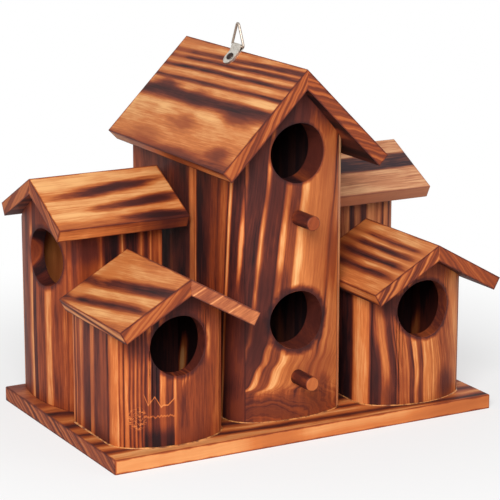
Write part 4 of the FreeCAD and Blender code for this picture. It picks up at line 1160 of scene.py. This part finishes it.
class BIRDHOUSE_OT_stage(bpy.types.Operator):
    """Set up the pale floor, the soft lamps, the white room and the camera"""
    bl_idname = "birdhouse.stage"
    bl_label = "Stage"

    def execute(self, context):
        stage = context.scene.birdhouse_stage
        self.lay_floor(stage)
        self.hang_lamps(stage)
        self.paint_room(stage)
        self.place_camera(stage)
        context.scene.view_settings.view_transform = "Standard"
        return {"FINISHED"}

    def lay_floor(self, stage):
        half = stage.floor_size / 2
        form = bmesh.new()
        form.faces.new([form.verts.new((x * half, y * half, 0)) for x, y in ((-1, -1), (1, -1), (1, 1), (-1, 1))])
        material, tree, shader = new_material("Pale floor")
        shader.inputs["Base Color"].default_value = opaque(stage.floor)
        shader.inputs["Roughness"].default_value = 0.9
        shader.inputs["Specular IOR Level"].default_value = 0.0
        self.fade_to_white(tree, shader)
        floor = finish_mesh("studio_floor", form, material)

    def fade_to_white(self, tree, shader):
        """Lets the floor pass into the white room away from the birdhouse, for what the camera and mirrors see."""
        distance = vectors(tree, "LENGTH", tree.nodes.new("ShaderNodeTexCoord").outputs["Object"])
        white = tree.nodes.new("ShaderNodeEmission")
        white.inputs["Color"].default_value = WHITE
        white.inputs["Strength"].default_value = 1.0
        near, far, least = 0.14, 0.45, 0.58
        share = distance.remap(near, far, least, 1.0) * mirror_or_camera(tree)
        mix_shaders(tree, share, shader.outputs["BSDF"], white.outputs["Emission"], tree.nodes["Material Output"])

    def hang_lamps(self, stage):
        for name, direction, distance, size, power in (
                ("key_lamp", (-0.5, -0.72, 0.48), 1.7, 0.9, stage.key_power),
                ("fill_lamp", (0.75, -0.62, 0.25), 1.9, 1.2, stage.fill_power)):
            lamp = bpy.data.lights.new(name, "AREA")
            lamp.shape = "DISK"
            lamp.size = size
            lamp.energy = power
            holder = show(name, lamp)
            aim = Vector(direction).normalized()
            middle = Vector((0, 0, 0.12))
            holder.location = middle + aim * distance
            holder.rotation_euler = (-aim).to_track_quat("-Z", "Y").to_euler()

    def paint_room(self, stage):
        world = bpy.data.worlds.new("White room")
        bpy.context.scene.world = world
        world.use_nodes = True
        tree = world.node_tree
        tree.nodes.clear()
        light = tree.nodes.new("ShaderNodeBackground")
        light.inputs["Color"].default_value = WHITE
        light.inputs["Strength"].default_value = stage.room_light
        white = tree.nodes.new("ShaderNodeBackground")
        white.inputs["Color"].default_value = WHITE
        ending = tree.nodes.new("ShaderNodeOutputWorld")
        mix_shaders(tree, mirror_or_camera(tree), light.outputs["Background"], white.outputs["Background"], ending)

    def place_camera(self, stage):
        lens = bpy.data.cameras.new("photo_camera")
        lens.lens = stage.lens
        lens.sensor_width = 36.0
        lens.shift_x, lens.shift_y = CAMERA_SHIFT
        lens.clip_end = 50.0
        camera = show("photo_camera", lens)
        turn = Matrix((CAMERA_RIGHT, CAMERA_UP, CAMERA_BACK)).transposed().to_4x4()
        camera.matrix_world = Matrix.Translation(CAMERA_PLACE * MM) @ turn
        bpy.context.scene.camera = camera


class BIRDHOUSE_PT_panel(bpy.types.Panel):
    """Lists the pieces of the birdhouse and the settings of their finish"""
    bl_idname = "BIRDHOUSE_PT_panel"
    bl_label = "Birdhouse"
    bl_space_type = "VIEW_3D"
    bl_region_type = "UI"
    bl_category = "Birdhouse"

    def draw(self, context):
        layout = self.layout
        for title, settings in (
                ("Wood", context.scene.birdhouse_wood), ("Hanger", context.scene.birdhouse_hanger),
                ("Glue", context.scene.birdhouse_glue), ("Stage", context.scene.birdhouse_stage)):
            box = layout.box()
            box.label(text=title)
            for name in settings.bl_rna.properties.keys():
                if name not in ("rna_type", "name"):
                    box.prop(settings, name)
        for operator in OPERATORS:
            layout.operator(operator.bl_idname)


OPERATORS = (
    BIRDHOUSE_OT_base_plate,
    BIRDHOUSE_OT_tower,
    BIRDHOUSE_OT_tower_roof,
    BIRDHOUSE_OT_perches,
    BIRDHOUSE_OT_front_houses,
    BIRDHOUSE_OT_front_roofs,
    BIRDHOUSE_OT_side_houses,
    BIRDHOUSE_OT_side_roofs,
    BIRDHOUSE_OT_hanger,
    BIRDHOUSE_OT_glue_lines,
    BIRDHOUSE_OT_stage,
)

SETTINGS = {
    "birdhouse_wood": WoodSettings,
    "birdhouse_hanger": HangerSettings,
    "birdhouse_glue": GlueSettings,
    "birdhouse_stage": StageSettings,
}


def register():
    for kind in (*SETTINGS.values(), *OPERATORS, BIRDHOUSE_PT_panel):
        bpy.utils.register_class(kind)
    for name, kind in SETTINGS.items():
        setattr(bpy.types.Scene, name, PointerProperty(type=kind))


def unregister():
    for name in SETTINGS:
        delattr(bpy.types.Scene, name)
    for kind in reversed((*SETTINGS.values(), *OPERATORS, BIRDHOUSE_PT_panel)):
        bpy.utils.unregister_class(kind)


def main():
    register()
    for operator in OPERATORS:
        group_name, call = operator.bl_idname.split(".")
        result = getattr(getattr(bpy.ops, group_name), call)()
        if result != {"FINISHED"}:
            raise RuntimeError(operator.bl_label + " was not finished")


if __name__ == "__main__":
    main()
